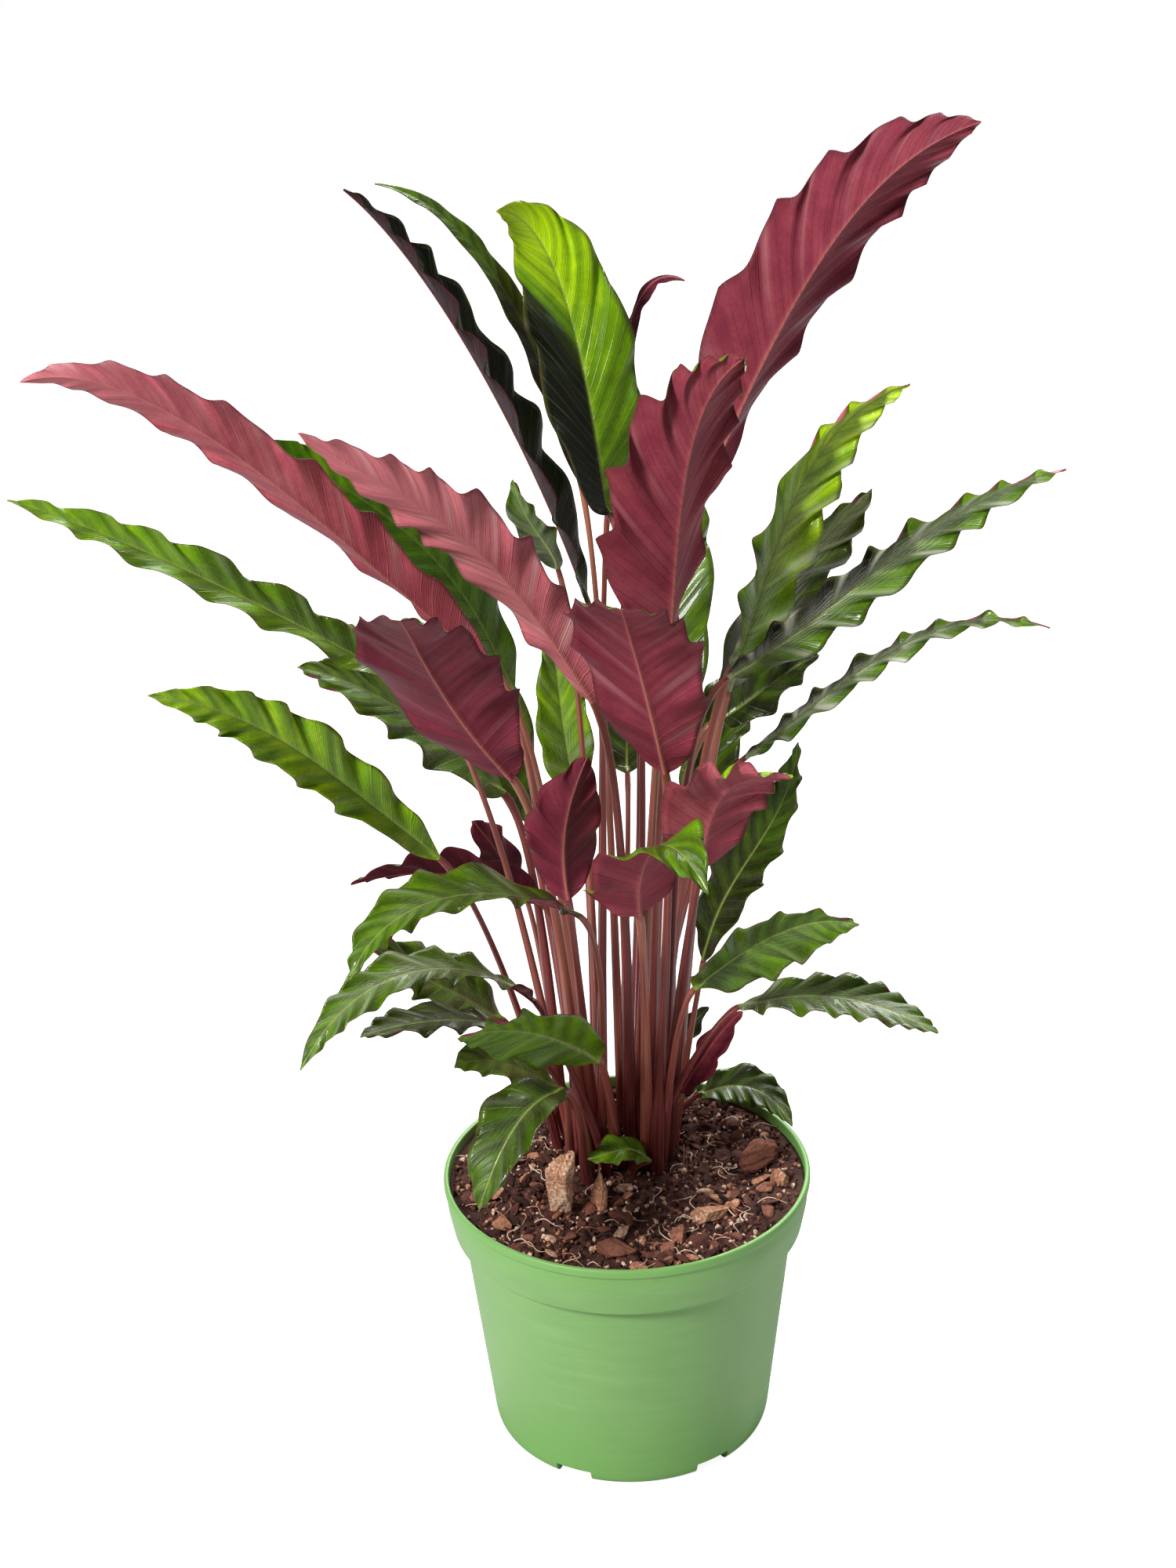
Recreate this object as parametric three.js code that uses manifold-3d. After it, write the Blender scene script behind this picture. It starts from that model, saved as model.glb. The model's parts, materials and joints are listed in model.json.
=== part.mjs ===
// A prayer plant with long wavy leaves, wine red below and green above, standing in a flared
// plastic nursery pot. Millimetres, +Z up. The origin is the middle of the pot's flat underside,
// on the surface that the pot stands on. The plant is seen from -Y.
import * as THREE from 'three';
import { mergeVertices } from 'three/addons/utils/BufferGeometryUtils.js';
import Module from 'manifold-3d';

const wasm = await Module();
wasm.setup();

// Driving dimensions of the pot
const POT_HEIGHT = 132;
const RIM_RADIUS = 85;
const LIP = 1.6;
const WALL = 1.4;
const FLOOR_EDGE = 0.6;
const FLOOR_BELOW = 6.4;
const FLOOR_ABOVE = 7.6;
const PAD_RADIUS = 16;
const FOOT_RING = { inner: 60, outer: 62.2 };
const POT_SIDES = 36;
const NOTCHES = 6;
const NOTCH = { depth: 20, width: 17.5, height: 6 };
const NOTCH_TURN = 26;
const SLOT = { depth: 9, width: 10, height: 6, radius: 57 };

// Driving dimensions of the potting mix
const SOIL_TOP = 127;
const SOIL_RINGS = 5;
const SOIL_SIDES = 28;
const SWELL = { height: 1.3, along: 13, across: 11 };
const LUMPS = { height: 0.8, along: 5.2, across: 4.6 };
const CHIP_COUNT = 22;
const CHIP_REACH = 76;
const CHIP_FREE = 9;
const CHIP_SHARE = { large: 0.3, small: 0.12 };
const CHIP_LEAST = [5, 3, 3];
const CHIP_SPREAD = [6, 4, 3];
const CHIP_SEED = 7;
const CLEARANCE = 0.35;

// Driving dimensions that every leaf shares
const BLADE_THICKNESS = 1;
const RIB_DEPTH = 1.4;
const FOOT_DEPTH = 14;
const FOOT_STRAIGHT = 6;
const WIDE_LEAF = 30;
const STALK = { wide: { foot: 2.6, top: 1.7 }, slim: { foot: 1.8, top: 1.2 } };
const STALK_STEPS = 5;
const STALK_LEAN = 0.6;
const HOLE_LANES = 2;
const RUFFLE = 0.085;
const BELLY = 0.42;
const VEIN_LEAD = 1.5;
const MOST_LEAD = 0.23;
const SCALLOP = 0.06;

// Colours of the side of a leaf that is seen from the front
const TONES = { wine: 0x7d3342, green: 0x4f7f22, bright: 0x7eb414 };

// Each leaf: where its stalk leaves the soil, the points that its midrib passes through, the width
// of its blade, the roll at its base and the twist to its tip in degrees, the fold of each half up
// from the midrib in degrees, the count of waves along each edge, and the strips across its blade.
// A few leaves also have a ruffle or a belly of their own in place of the shared one.
const LEAVES = [
  { name: 'leaf_tall_right', foot: [11, 27],
    rib: [[36, 5, 454], [68, -10, 529], [101, -30, 587], [142, -50, 620]],
    width: 53, roll: -30, twist: -50, fold: 35, waves: 7, lanes: 4,
    tone: 'wine' },
  { name: 'leaf_tall_centre', foot: [6, 22],
    rib: [[20, -30, 389], [25, -40, 445], [32, -55, 500], [50, -85, 541]],
    width: 58, roll: 25, twist: -50, fold: 25, waves: 7, lanes: 4,
    tone: 'wine' },
  { name: 'leaf_bright_top', foot: [5, 37],
    rib: [[0, 62, 431], [-6, 75, 467], [-19, 88, 528], [-45, 72, 564]],
    width: 51, roll: -20, twist: -50, fold: 10, waves: 6, ruffle: 0.04, lanes: 4,
    tone: 'bright' },
  { name: 'leaf_narrow_top', foot: [-1, 47],
    rib: [[-13, 96, 436], [-29, 90, 492], [-55, 74, 548], [-94, 45, 583]],
    width: 14, roll: -85, twist: 45, fold: 5, waves: 5, ruffle: 0.05, lanes: 4,
    tone: 'green' },
  { name: 'leaf_dark_folded_top', foot: [-11, 39],
    rib: [[-11, 20, 406], [-37, 5, 482], [-69, -10, 550], [-101, -30, 597]],
    width: 26, roll: -50, twist: 30, fold: 30, waves: 8, ruffle: 0.1, lanes: 4,
    tone: 'wine' },
  { name: 'leaf_small_twisted_top', foot: [-10, 69],
    rib: [[0, 112, 420], [6, 118, 470], [16, 118, 511], [36, 108, 523]],
    width: 11, roll: -150, twist: 0, fold: 5, waves: 4, lanes: 2,
    tone: 'wine' },
  { name: 'leaf_long_far_left', foot: [-16, 28],
    rib: [[-53, -10, 389], [-109, -35, 455], [-169, -60, 517], [-224, -80, 538]],
    width: 30, roll: 35, twist: 60, fold: 35, waves: 8, ruffle: 0.08, lanes: 4,
    tone: 'wine' },
  { name: 'leaf_rose_left', foot: [3, 11],
    rib: [[-10, -35, 382], [-45, -60, 448], [-76, -80, 485], [-118, -100, 521]],
    width: 34, roll: 35, twist: 30, fold: 15, waves: 7, lanes: 4,
    tone: 'wine' },
  { name: 'leaf_green_under_rose', foot: [-20, 35],
    rib: [[-45, 25, 361], [-72, 5, 428], [-105, -15, 468], [-136, -35, 499]],
    width: 36, roll: -70, twist: 0, fold: 12, waves: 7, lanes: 4,
    tone: 'green' },
  { name: 'leaf_green_far_left', foot: [-25, 21],
    rib: [[-81, -25, 383], [-129, -45, 423], [-184, -65, 463], [-233, -85, 493]],
    width: 22, roll: -35, twist: -15, fold: 15, waves: 7, ruffle: 0.13, lanes: 4,
    tone: 'green' },
  { name: 'leaf_green_mid_left', foot: [-32, 26],
    rib: [[-76, -65, 326], [-115, -88, 375], [-146, -108, 408], [-179, -128, 428]],
    width: 27, roll: -65, twist: 0, fold: 14, waves: 7, ruffle: 0.12, lanes: 4,
    tone: 'green' },
  { name: 'leaf_oval_left', foot: [-18, 8],
    rib: [[-45, -50, 355], [-67, -70, 396], [-78, -97, 432], [-81, -140, 460]],
    width: 59, roll: 5, twist: 0, fold: 5, waves: 5, ruffle: 0.05, belly: 0.48, lanes: 4,
    tone: 'wine' },
  { name: 'leaf_oval_centre', foot: [14, 2],
    rib: [[19, -58, 359], [12, -74, 398], [5, -98, 435], [1, -140, 462]],
    width: 53, roll: -5, twist: 0, fold: 5, waves: 5, ruffle: 0.05, belly: 0.55, lanes: 4,
    tone: 'wine' },
  { name: 'leaf_small_oval_centre', foot: [-14, 16],
    rib: [[-23, -48, 297], [-24, -54, 322], [-21, -62, 346], [-13, -74, 374]],
    width: 33, roll: -15, twist: 0, fold: 20, waves: 4, lanes: 2,
    tone: 'wine' },
  { name: 'leaf_small_arched_centre', foot: [10, 8],
    rib: [[7, -65, 297], [8, -82, 326], [17, -103, 347], [33, -128, 337]],
    width: 46, roll: 0, twist: 10, fold: 6, waves: 4, belly: 0.38, lanes: 2,
    tone: 'wine' },
  { name: 'leaf_oval_right', foot: [20, 16],
    rib: [[33, -50, 310], [38, -62, 341], [48, -75, 361], [69, -92, 370]],
    width: 46, roll: -25, twist: 0, fold: 5, waves: 5, lanes: 2,
    tone: 'wine' },
  { name: 'leaf_dark_right', foot: [23, 25],
    rib: [[37, 4, 238], [50, -4, 280], [67, -12, 314], [77, -20, 354]],
    width: 25, roll: 80, twist: 0, fold: 12, waves: 6, ruffle: 0.13, lanes: 2,
    tone: 'green' },
  { name: 'leaf_bright_low_right', foot: [17, 10],
    rib: [[31, -50, 253], [52, -75, 284], [73, -98, 307], [94, -115, 315]],
    width: 30, roll: 140, twist: -40, fold: 25, waves: 5, lanes: 2,
    tone: 'green' },
  { name: 'leaf_wavy_low_right', foot: [9, 14],
    rib: [[51, -35, 235], [79, -58, 252], [105, -75, 256], [131, -88, 249]],
    width: 26, roll: 15, twist: 0, fold: 5, waves: 8, lanes: 2,
    tone: 'green' },
  { name: 'leaf_small_folded_right', foot: [13, 19],
    rib: [[27, 10, 166], [36, 2, 187], [44, -8, 206], [53, -20, 224]],
    width: 18, roll: -115, twist: 0, fold: 5, waves: 3, lanes: 2,
    tone: 'wine' },
  { name: 'leaf_over_back_rim', foot: [22, 47],
    rib: [[37, 51, 140], [51, 48, 146], [66, 41, 146], [79, 24, 137]],
    width: 22, roll: 30, twist: 0, fold: 5, waves: 6, ruffle: 0.08, lanes: 2,
    tone: 'green' },
  { name: 'leaf_striped_upright_right', foot: [13, 39],
    rib: [[53, 42, 365], [67, 38, 408], [87, 30, 462], [126, 18, 499]],
    width: 34, roll: 150, twist: -25, fold: 20, waves: 7, ruffle: 0.1, lanes: 4,
    tone: 'green' },
  { name: 'leaf_striped_behind_right', foot: [23, 41],
    rib: [[52, 62, 345], [72, 64, 387], [93, 62, 415], [115, 56, 441]],
    width: 36, roll: 120, twist: 0, fold: 10, waves: 5, lanes: 2,
    tone: 'green' },
  { name: 'leaf_striped_long_right', foot: [19, 32],
    rib: [[50, 22, 368], [93, 8, 405], [137, -8, 446], [185, -25, 474]],
    width: 25, roll: 110, twist: 25, fold: 10, waves: 8, ruffle: 0.14, lanes: 4,
    tone: 'green' },
  { name: 'leaf_dark_lobed_right', foot: [21, 53],
    rib: [[47, 78, 323], [62, 78, 333], [78, 76, 346], [94, 72, 357]],
    width: 31, roll: 30, twist: 0, fold: 5, waves: 3, lanes: 2,
    tone: 'green' },
  { name: 'leaf_slender_right', foot: [17, 23],
    rib: [[56, -2, 340], [90, -15, 374], [132, -28, 406], [179, -38, 410]],
    width: 12, roll: 120, twist: 0, fold: 5, waves: 8, ruffle: 0.22, lanes: 2,
    tone: 'green' },
  { name: 'leaf_bright_behind_centre', foot: [-12, 61],
    rib: [[-18, 100, 277], [-23, 105, 303], [-26, 108, 332], [-29, 108, 360]],
    width: 31, roll: -50, twist: 0, fold: 35, waves: 5, lanes: 2,
    tone: 'green' },
  { name: 'leaf_small_twisted_back', foot: [-11, 54],
    rib: [[-24, 92, 395], [-30, 95, 407], [-37, 94, 419], [-43, 86, 440]],
    width: 24, roll: -145, twist: 0, fold: 5, waves: 3, lanes: 2,
    tone: 'green' },
  { name: 'leaf_grey_green_left', foot: [-29, 35],
    rib: [[-51, 20, 316], [-77, 5, 350], [-102, -10, 377], [-133, -25, 397]],
    width: 40, roll: -40, twist: 0, fold: 5, waves: 6, lanes: 2,
    tone: 'green' },
  { name: 'leaf_small_dark_left', foot: [-28, 45],
    rib: [[-46, 50, 255], [-52, 44, 268], [-58, 38, 282], [-66, 32, 297]],
    width: 26, roll: 110, twist: 0, fold: 5, waves: 3, lanes: 2,
    tone: 'wine' },
  { name: 'leaf_arching_left', foot: [-11, 9],
    rib: [[-19, -66, 298], [-55, -98, 325], [-87, -126, 331], [-108, -146, 313]],
    width: 29, roll: -10, twist: 0, fold: 15, waves: 6, lanes: 2,
    tone: 'green' },
  { name: 'leaf_drooping_left', foot: [-9, 3],
    rib: [[-39, -45, 246], [-67, -80, 281], [-101, -110, 291], [-132, -132, 265]],
    width: 24, roll: 0, twist: -30, fold: 5, waves: 7, ruffle: 0.12, lanes: 2,
    tone: 'green' },
  { name: 'leaf_short_left', foot: [-25, 28],
    rib: [[-56, 15, 204], [-74, -2, 227], [-93, -18, 248], [-111, -34, 272]],
    width: 34, roll: -45, twist: 0, fold: 5, waves: 5, lanes: 2,
    tone: 'green' },
  { name: 'leaf_slim_low_left', foot: [-13, 22],
    rib: [[-54, -40, 232], [-73, -58, 245], [-92, -75, 253], [-111, -90, 256]],
    width: 26, roll: -5, twist: 0, fold: 5, waves: 5, lanes: 2,
    tone: 'green' },
  { name: 'leaf_bright_low_left', foot: [-4, 10],
    rib: [[-12, -35, 210], [-31, -68, 240], [-50, -92, 258], [-69, -112, 266]],
    width: 32, roll: -125, twist: 0, fold: 5, waves: 4, lanes: 2,
    tone: 'green' },
  { name: 'leaf_dark_low_left', foot: [-26, 11],
    rib: [[-30, -30, 193], [-46, -48, 214], [-60, -64, 228], [-73, -78, 233]],
    width: 29, roll: -35, twist: 0, fold: 10, waves: 4, lanes: 2,
    tone: 'green' },
  { name: 'leaf_over_front_rim', foot: [-18, -2],
    rib: [[-28, -66, 213], [-43, -84, 214], [-55, -98, 201], [-64, -106, 180]],
    width: 32, roll: -5, twist: 0, fold: 20, waves: 4, ruffle: 0.05, lanes: 2,
    tone: 'green' },
  { name: 'leaf_tiny_at_soil', foot: [2, 3],
    rib: [[10, -9, 141], [1, -12, 149], [-8, -15, 149], [-18, -18, 148]],
    width: 18, roll: -15, twist: 0, fold: 5, waves: 3, lanes: 2,
    tone: 'green' },
  { name: 'leaf_tiny_back_right', foot: [13, 65],
    rib: [[22, 80, 143], [29, 84, 152], [36, 86, 160], [43, 86, 168]],
    width: 16, roll: 10, twist: 0, fold: 5, waves: 2, lanes: 2,
    tone: 'green' },
  { name: 'leaf_burgundy_low_left', foot: [-22, 15],
    rib: [[-36, 25, 258], [-63, 5, 281], [-89, -15, 295], [-116, -35, 300]],
    width: 28, roll: 40, twist: 0, fold: 20, waves: 5, lanes: 2,
    tone: 'wine' },
  { name: 'leaf_back_tall', foot: [12, 55],
    rib: [[24, 92, 300], [26, 122, 355], [28, 154, 400], [34, 194, 430]],
    width: 44, roll: 0, twist: 20, fold: 15, waves: 7, lanes: 2,
    tone: 'green' },
  { name: 'leaf_back_left', foot: [-21, 62],
    rib: [[-42, 88, 270], [-60, 112, 310], [-84, 140, 335], [-112, 172, 340]],
    width: 42, roll: 10, twist: -15, fold: 15, waves: 6, lanes: 2,
    tone: 'green' },
  { name: 'leaf_back_right', foot: [6, 60],
    rib: [[41, 92, 264], [48, 112, 292], [58, 132, 312], [72, 150, 331]],
    width: 32, roll: -10, twist: 15, fold: 15, waves: 6, lanes: 2,
    tone: 'green' },
  { name: 'leaf_back_low', foot: [0, 71],
    rib: [[6, 108, 285], [7, 128, 299], [10, 148, 314], [13, 168, 326]],
    width: 30, roll: 0, twist: 10, fold: 12, waves: 5, lanes: 2,
    tone: 'green' },
];

const UP = new THREE.Vector3(0, 0, 1);

function vec(x, y, z) {
  return new THREE.Vector3(x, y, z);
}

// Points and slopes of the polynomial that passes through the rib's points at equal steps
function alongRib(rib, t) {
  const point = vec(0, 0, 0);
  const slope = vec(0, 0, 0);
  rib.forEach((corner, i) => {
    let weight = 1;
    let change = 0;
    rib.forEach((_, j) => {
      if (j === i) return;
      const here = i / (rib.length - 1);
      const there = j / (rib.length - 1);
      change = (change * (t - there) + weight) / (here - there);
      weight *= (t - there) / (here - there);
    });
    point.addScaledVector(vec(...corner), weight);
    slope.addScaledVector(vec(...corner), change);
  });
  return { point, slope };
}

function ribLength(rib) {
  const steps = 40;
  let length = 0;
  let last = alongRib(rib, 0).point;
  for (let i = 1; i <= steps; i += 1) {
    const next = alongRib(rib, i / steps).point;
    length += next.distanceTo(last);
    last = next;
  }
  return length;
}

// The level direction to the left of a leaf, for one who walks from its base to its tip
function leafSide(rib) {
  const base = vec(...rib[0]);
  const heading = vec(...rib[rib.length - 1]).sub(base).setZ(0).normalize();
  return vec(0, 0, 0).crossVectors(UP, heading);
}

// A cross-section frame: forward along the rib, left across it, and up out of the green face
function sectionFrame(forward, side, roll) {
  const ahead = forward.clone().normalize();
  const level = side.clone().addScaledVector(ahead, -ahead.dot(side)).normalize();
  const over = vec(0, 0, 0).crossVectors(ahead, level);
  const angle = THREE.MathUtils.degToRad(roll);
  const left = level.multiplyScalar(Math.cos(angle)).addScaledVector(over, Math.sin(angle));
  const up = vec(0, 0, 0).crossVectors(ahead, left);
  return { ahead, left, up };
}

// Share of the full half width at t: round at the base, widest at the belly, drawn out at the tip
function outline(t, belly) {
  const rise = 0.62;
  const fall = (rise * (1 - belly)) / belly;
  const peak = belly ** rise * (1 - belly) ** fall;
  return (t ** rise * (1 - t) ** fall) / peak;
}

// A point of the blade. s runs along the leaf, v across it from -1 to 1. Lines of equal s follow
// the side veins, so they lean towards the tip. The edge rises and falls once a wave, and the two
// edges take turns.
function bladePoint(leaf, length, s, v, lift) {
  const reach = Math.abs(v);
  const lead = Math.min((VEIN_LEAD * leaf.width) / 2 / length, MOST_LEAD);
  const t = Math.min(s + lead * reach * 4 * s * (1 - s), 1);
  const { point, slope } = alongRib(leaf.rib, t);
  const { left, up } = sectionFrame(slope, leafSide(leaf.rib), leaf.roll + leaf.twist * t);
  const share = outline(t, leaf.belly ?? BELLY);
  const half = Math.max((leaf.width / 2) * share, 0.6);
  const phase = 2 * Math.PI * (leaf.waves * s + (v > 0 ? 0.5 : 0));
  const wave = (leaf.ruffle ?? RUFFLE) * leaf.width * share ** 0.6 * reach ** 1.7;
  const across = half * v * (1 + SCALLOP * reach * Math.cos(phase));
  const fold = THREE.MathUtils.degToRad(leaf.fold);
  point.addScaledVector(left, across * Math.cos(fold));
  point.addScaledVector(up, Math.abs(across) * Math.sin(fold) + wave * Math.sin(phase) + lift);
  return point;
}

// One ring round the blade: its green face from right to left, then its red face back again
function bladeRing(leaf, length, s) {
  const ring = [];
  for (let j = 0; j <= leaf.lanes; j += 1) {
    ring.push(bladePoint(leaf, length, s, (2 * j) / leaf.lanes - 1, BLADE_THICKNESS / 2));
  }
  for (let j = leaf.lanes; j >= 0; j -= 1) {
    const v = (2 * j) / leaf.lanes - 1;
    const rib = v === 0 ? RIB_DEPTH * (1 - 0.8 * s) : 0;
    ring.push(bladePoint(leaf, length, s, v, -BLADE_THICKNESS / 2 - rib));
  }
  return ring;
}

// One round ring of the stalk, with as many points as a blade ring and in the same order
function stalkRing(centre, forward, side, roll, radius, lanes) {
  const { left, up } = sectionFrame(forward, side, roll);
  const count = lanes + 1;
  const ring = [];
  for (let k = 0; k < 2 * count; k += 1) {
    const angle = Math.PI * (1 - (k + 0.5) / count);
    const corner = centre.clone().addScaledVector(left, radius * Math.cos(angle));
    ring.push(corner.addScaledVector(up, radius * Math.sin(angle)));
  }
  return ring;
}

// Radii of the stalk at the soil, where its sheath is thick, and at the blade
function stalkRadii(leaf) {
  return leaf.width > WIDE_LEAF ? STALK.wide : STALK.slim;
}

// Where the stalk leaves the soil and which way it points there
function stalkStart(leaf) {
  const foot = vec(leaf.foot[0], leaf.foot[1], SOIL_TOP);
  const rise = vec(...leaf.rib[0]).sub(foot);
  const forward = vec(rise.x * STALK_LEAN, rise.y * STALK_LEAN, rise.z).normalize();
  return { foot, forward };
}

// The stalk's rings: straight in the soil and just above it, then one smooth curve that meets
// the midrib in its own direction
function stalkRings(leaf) {
  const { foot, forward } = stalkStart(leaf);
  const side = leafSide(leaf.rib);
  const radii = stalkRadii(leaf);
  const start = foot.clone().addScaledVector(forward, FOOT_STRAIGHT);
  const { point: end, slope } = alongRib(leaf.rib, 0);
  const span = start.distanceTo(end);
  const leaving = forward.clone().multiplyScalar(0.6 * span);
  const arriving = slope.clone().normalize().multiplyScalar(0.45 * span);
  const buried = foot.clone().addScaledVector(forward, -FOOT_DEPTH);
  const rings = [stalkRing(buried, forward, side, 0, radii.foot, leaf.lanes)];
  for (let i = 0; i <= STALK_STEPS; i += 1) {
    const s = i / STALK_STEPS;
    const centre = start.clone().multiplyScalar(2 * s ** 3 - 3 * s ** 2 + 1);
    centre.addScaledVector(leaving, s ** 3 - 2 * s ** 2 + s);
    centre.addScaledVector(end, 3 * s ** 2 - 2 * s ** 3);
    centre.addScaledVector(arriving, s ** 3 - s ** 2);
    const way = start.clone().multiplyScalar(6 * s ** 2 - 6 * s);
    way.addScaledVector(leaving, 3 * s ** 2 - 4 * s + 1);
    way.addScaledVector(end, 6 * s - 6 * s ** 2);
    way.addScaledVector(arriving, 3 * s ** 2 - 2 * s);
    const radius = THREE.MathUtils.lerp(radii.foot, radii.top, s);
    rings.push(stalkRing(centre, way, side, leaf.roll * s, radius, leaf.lanes));
  }
  return rings;
}

// A closed geometry through rings of equal count. The top row and the bottom row of each ring
// share their diagonals, so that both faces bend alike.
function loft(rings, lanes) {
  const count = 2 * (lanes + 1);
  const positions = rings.flat().flatMap((p) => [p.x, p.y, p.z]);
  const faces = [];
  const quad = (a, b, c, d, turned) => {
    if (turned) faces.push(a, b, d, b, c, d);
    else faces.push(a, b, c, a, c, d);
  };
  for (let i = 0; i < rings.length - 1; i += 1) {
    const near = i * count;
    const far = near + count;
    for (let j = 0; j < lanes; j += 1) {
      const turned = rings[i][j].distanceTo(rings[i + 1][j + 1])
        > rings[i + 1][j].distanceTo(rings[i][j + 1]);
      quad(near + j, far + j, far + j + 1, near + j + 1, turned);
      const k = count - 1 - j;
      quad(near + k - 1, far + k - 1, far + k, near + k, !turned);
    }
    quad(near + lanes + 1, near + lanes, far + lanes, far + lanes + 1, false);
    quad(near + count - 1, far + count - 1, far, near, false);
  }
  const last = (rings.length - 1) * count;
  for (let k = 1; k < count - 1; k += 1) {
    faces.push(0, k, k + 1);
    faces.push(last, last + k + 1, last + k);
  }
  const geometry = new THREE.BufferGeometry();
  geometry.setAttribute('position', new THREE.Float32BufferAttribute(positions, 3));
  geometry.setIndex(faces);
  return geometry;
}

// The whole leaf: stalk rings, then a blade ring on each crest and trough, then the tip
function leafGeometry(leaf) {
  const length = ribLength(leaf.rib);
  const rings = stalkRings(leaf);
  for (let k = 0; k < 2 * leaf.waves; k += 1) {
    rings.push(bladeRing(leaf, length, (2 * k + 1) / (4 * leaf.waves)));
  }
  rings.push(bladeRing(leaf, length, 1));
  return loft(rings, leaf.lanes);
}

// The plain hole in the soil that a stalk stands in
function footHole(leaf) {
  const { foot, forward } = stalkStart(leaf);
  const side = leafSide(leaf.rib);
  const radius = (stalkRadii(leaf).foot + CLEARANCE) / Math.cos(Math.PI / 6);
  const low = foot.clone().addScaledVector(forward, -FOOT_DEPTH - CLEARANCE);
  const high = foot.clone().addScaledVector(forward, FOOT_STRAIGHT);
  const ends = [low, high].map((p) => stalkRing(p, forward, side, 0, radius, HOLE_LANES));
  return loft(ends, HOLE_LANES);
}

function toSolid(geometry) {
  const bare = geometry.clone();
  bare.deleteAttribute('normal');
  bare.deleteAttribute('uv');
  const merged = mergeVertices(bare, 1e-3);
  const index = Array.from(merged.index.array);
  const faces = [];
  for (let i = 0; i < index.length; i += 3) {
    const [a, b, c] = index.slice(i, i + 3);
    if (a !== b && b !== c && c !== a) faces.push(a, b, c);
  }
  return new wasm.Manifold(new wasm.Mesh({
    numProp: 3,
    vertProperties: new Float32Array(merged.attributes.position.array),
    triVerts: new Uint32Array(faces),
  }));
}

function toGeometry(solid) {
  const mesh = solid.getMesh();
  const geometry = new THREE.BufferGeometry();
  geometry.setAttribute('position', new THREE.BufferAttribute(mesh.vertProperties, 3));
  geometry.setIndex(new THREE.BufferAttribute(mesh.triVerts, 1));
  return geometry;
}

// A turned shape from [radius, height] pairs that start and end on the axis
function lathe(profile, sides) {
  const points = profile.map(([radius, height]) => new THREE.Vector2(radius, height));
  return new THREE.LatheGeometry(points, sides).rotateX(Math.PI / 2);
}

// The wall from its foot to under its lip: it leans out, steps out over a short ledge, and goes on
// as a band
const WALL_LINE = [[65.7, 4.7], [77, 104], [81.6, 106.8], [84.2, 120.4]];

function potOutside() {
  return [
    [FOOT_RING.outer, 0], [FOOT_RING.outer + 2.2, 1.4], ...WALL_LINE,
    [RIM_RADIUS + 0.2, 127.7], [RIM_RADIUS + 0.2, POT_HEIGHT - 0.6],
    [RIM_RADIUS - 0.4, POT_HEIGHT],
  ];
}

// The pot's inside, from its lip down to its floor
function potInside() {
  const wall = WALL_LINE.slice(1).map(([radius, height]) => [radius - WALL, height + WALL / 2]);
  const floor = [WALL_LINE[0][0] - WALL + 0.3, FLOOR_ABOVE + FLOOR_EDGE];
  return [[RIM_RADIUS - 0.4 - LIP, POT_HEIGHT], ...wall.reverse(), floor];
}

function potGeometry() {
  const underside = [
    [0, 0], [PAD_RADIUS, 0], [PAD_RADIUS + 0.8, FLOOR_BELOW],
    [FOOT_RING.inner - 1, FLOOR_BELOW], [FOOT_RING.inner, 0],
  ];
  const profile = [...underside, ...potOutside(), ...potInside(), [0, FLOOR_ABOVE]];
  let pot = toSolid(lathe(profile, POT_SIDES));
  for (let i = 0; i < NOTCHES; i += 1) {
    const angle = THREE.MathUtils.degToRad(-90 - NOTCH_TURN + (i * 360) / NOTCHES);
    const notch = new THREE.BoxGeometry(NOTCH.depth, NOTCH.width, NOTCH.height + 1);
    notch.translate(FOOT_RING.outer, 0, (NOTCH.height - 1) / 2).rotateZ(angle);
    const slot = new THREE.BoxGeometry(SLOT.depth, SLOT.width, SLOT.height);
    slot.translate(SLOT.radius, 0, FLOOR_BELOW + 1).rotateZ(angle);
    pot = pot.subtract(toSolid(notch)).subtract(toSolid(slot));
  }
  return toGeometry(pot);
}

// Height of the uneven soil over its level at a point
function soilBump(x, y) {
  const swell = Math.sin(x / SWELL.along + 0.6) * Math.cos(y / SWELL.across);
  const lumps = Math.sin(x / LUMPS.along) * Math.sin(y / LUMPS.across + 1.1);
  return SWELL.height * swell + LUMPS.height * lumps;
}

function seededRandom(seed) {
  let state = seed;
  return () => {
    state = (state * 16807) % 2147483647;
    return state / 2147483647;
  };
}

// The body of the potting mix: it fills the pot up to an uneven top, which is level at its edge
function soilBody() {
  const inside = potInside().slice(1);
  const wall = inside.map(([radius, height]) => [radius - CLEARANCE, height + CLEARANCE]);
  const edge = wall[0][0];
  const profile = [[0, FLOOR_ABOVE + CLEARANCE], ...wall.reverse()];
  for (let i = SOIL_RINGS; i >= 0; i -= 1) {
    profile.push([(i / SOIL_RINGS) * edge, SOIL_TOP]);
  }
  const geometry = lathe(profile, SOIL_SIDES);
  const position = geometry.attributes.position;
  for (let i = 0; i < position.count; i += 1) {
    const x = position.getX(i);
    const y = position.getY(i);
    if (position.getZ(i) > SOIL_TOP - 0.01) {
      const free = 1 - Math.min(Math.hypot(x, y) / edge, 1) ** 6;
      position.setZ(i, SOIL_TOP + free * soilBump(x, y));
    }
  }
  return toSolid(geometry);
}

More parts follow.
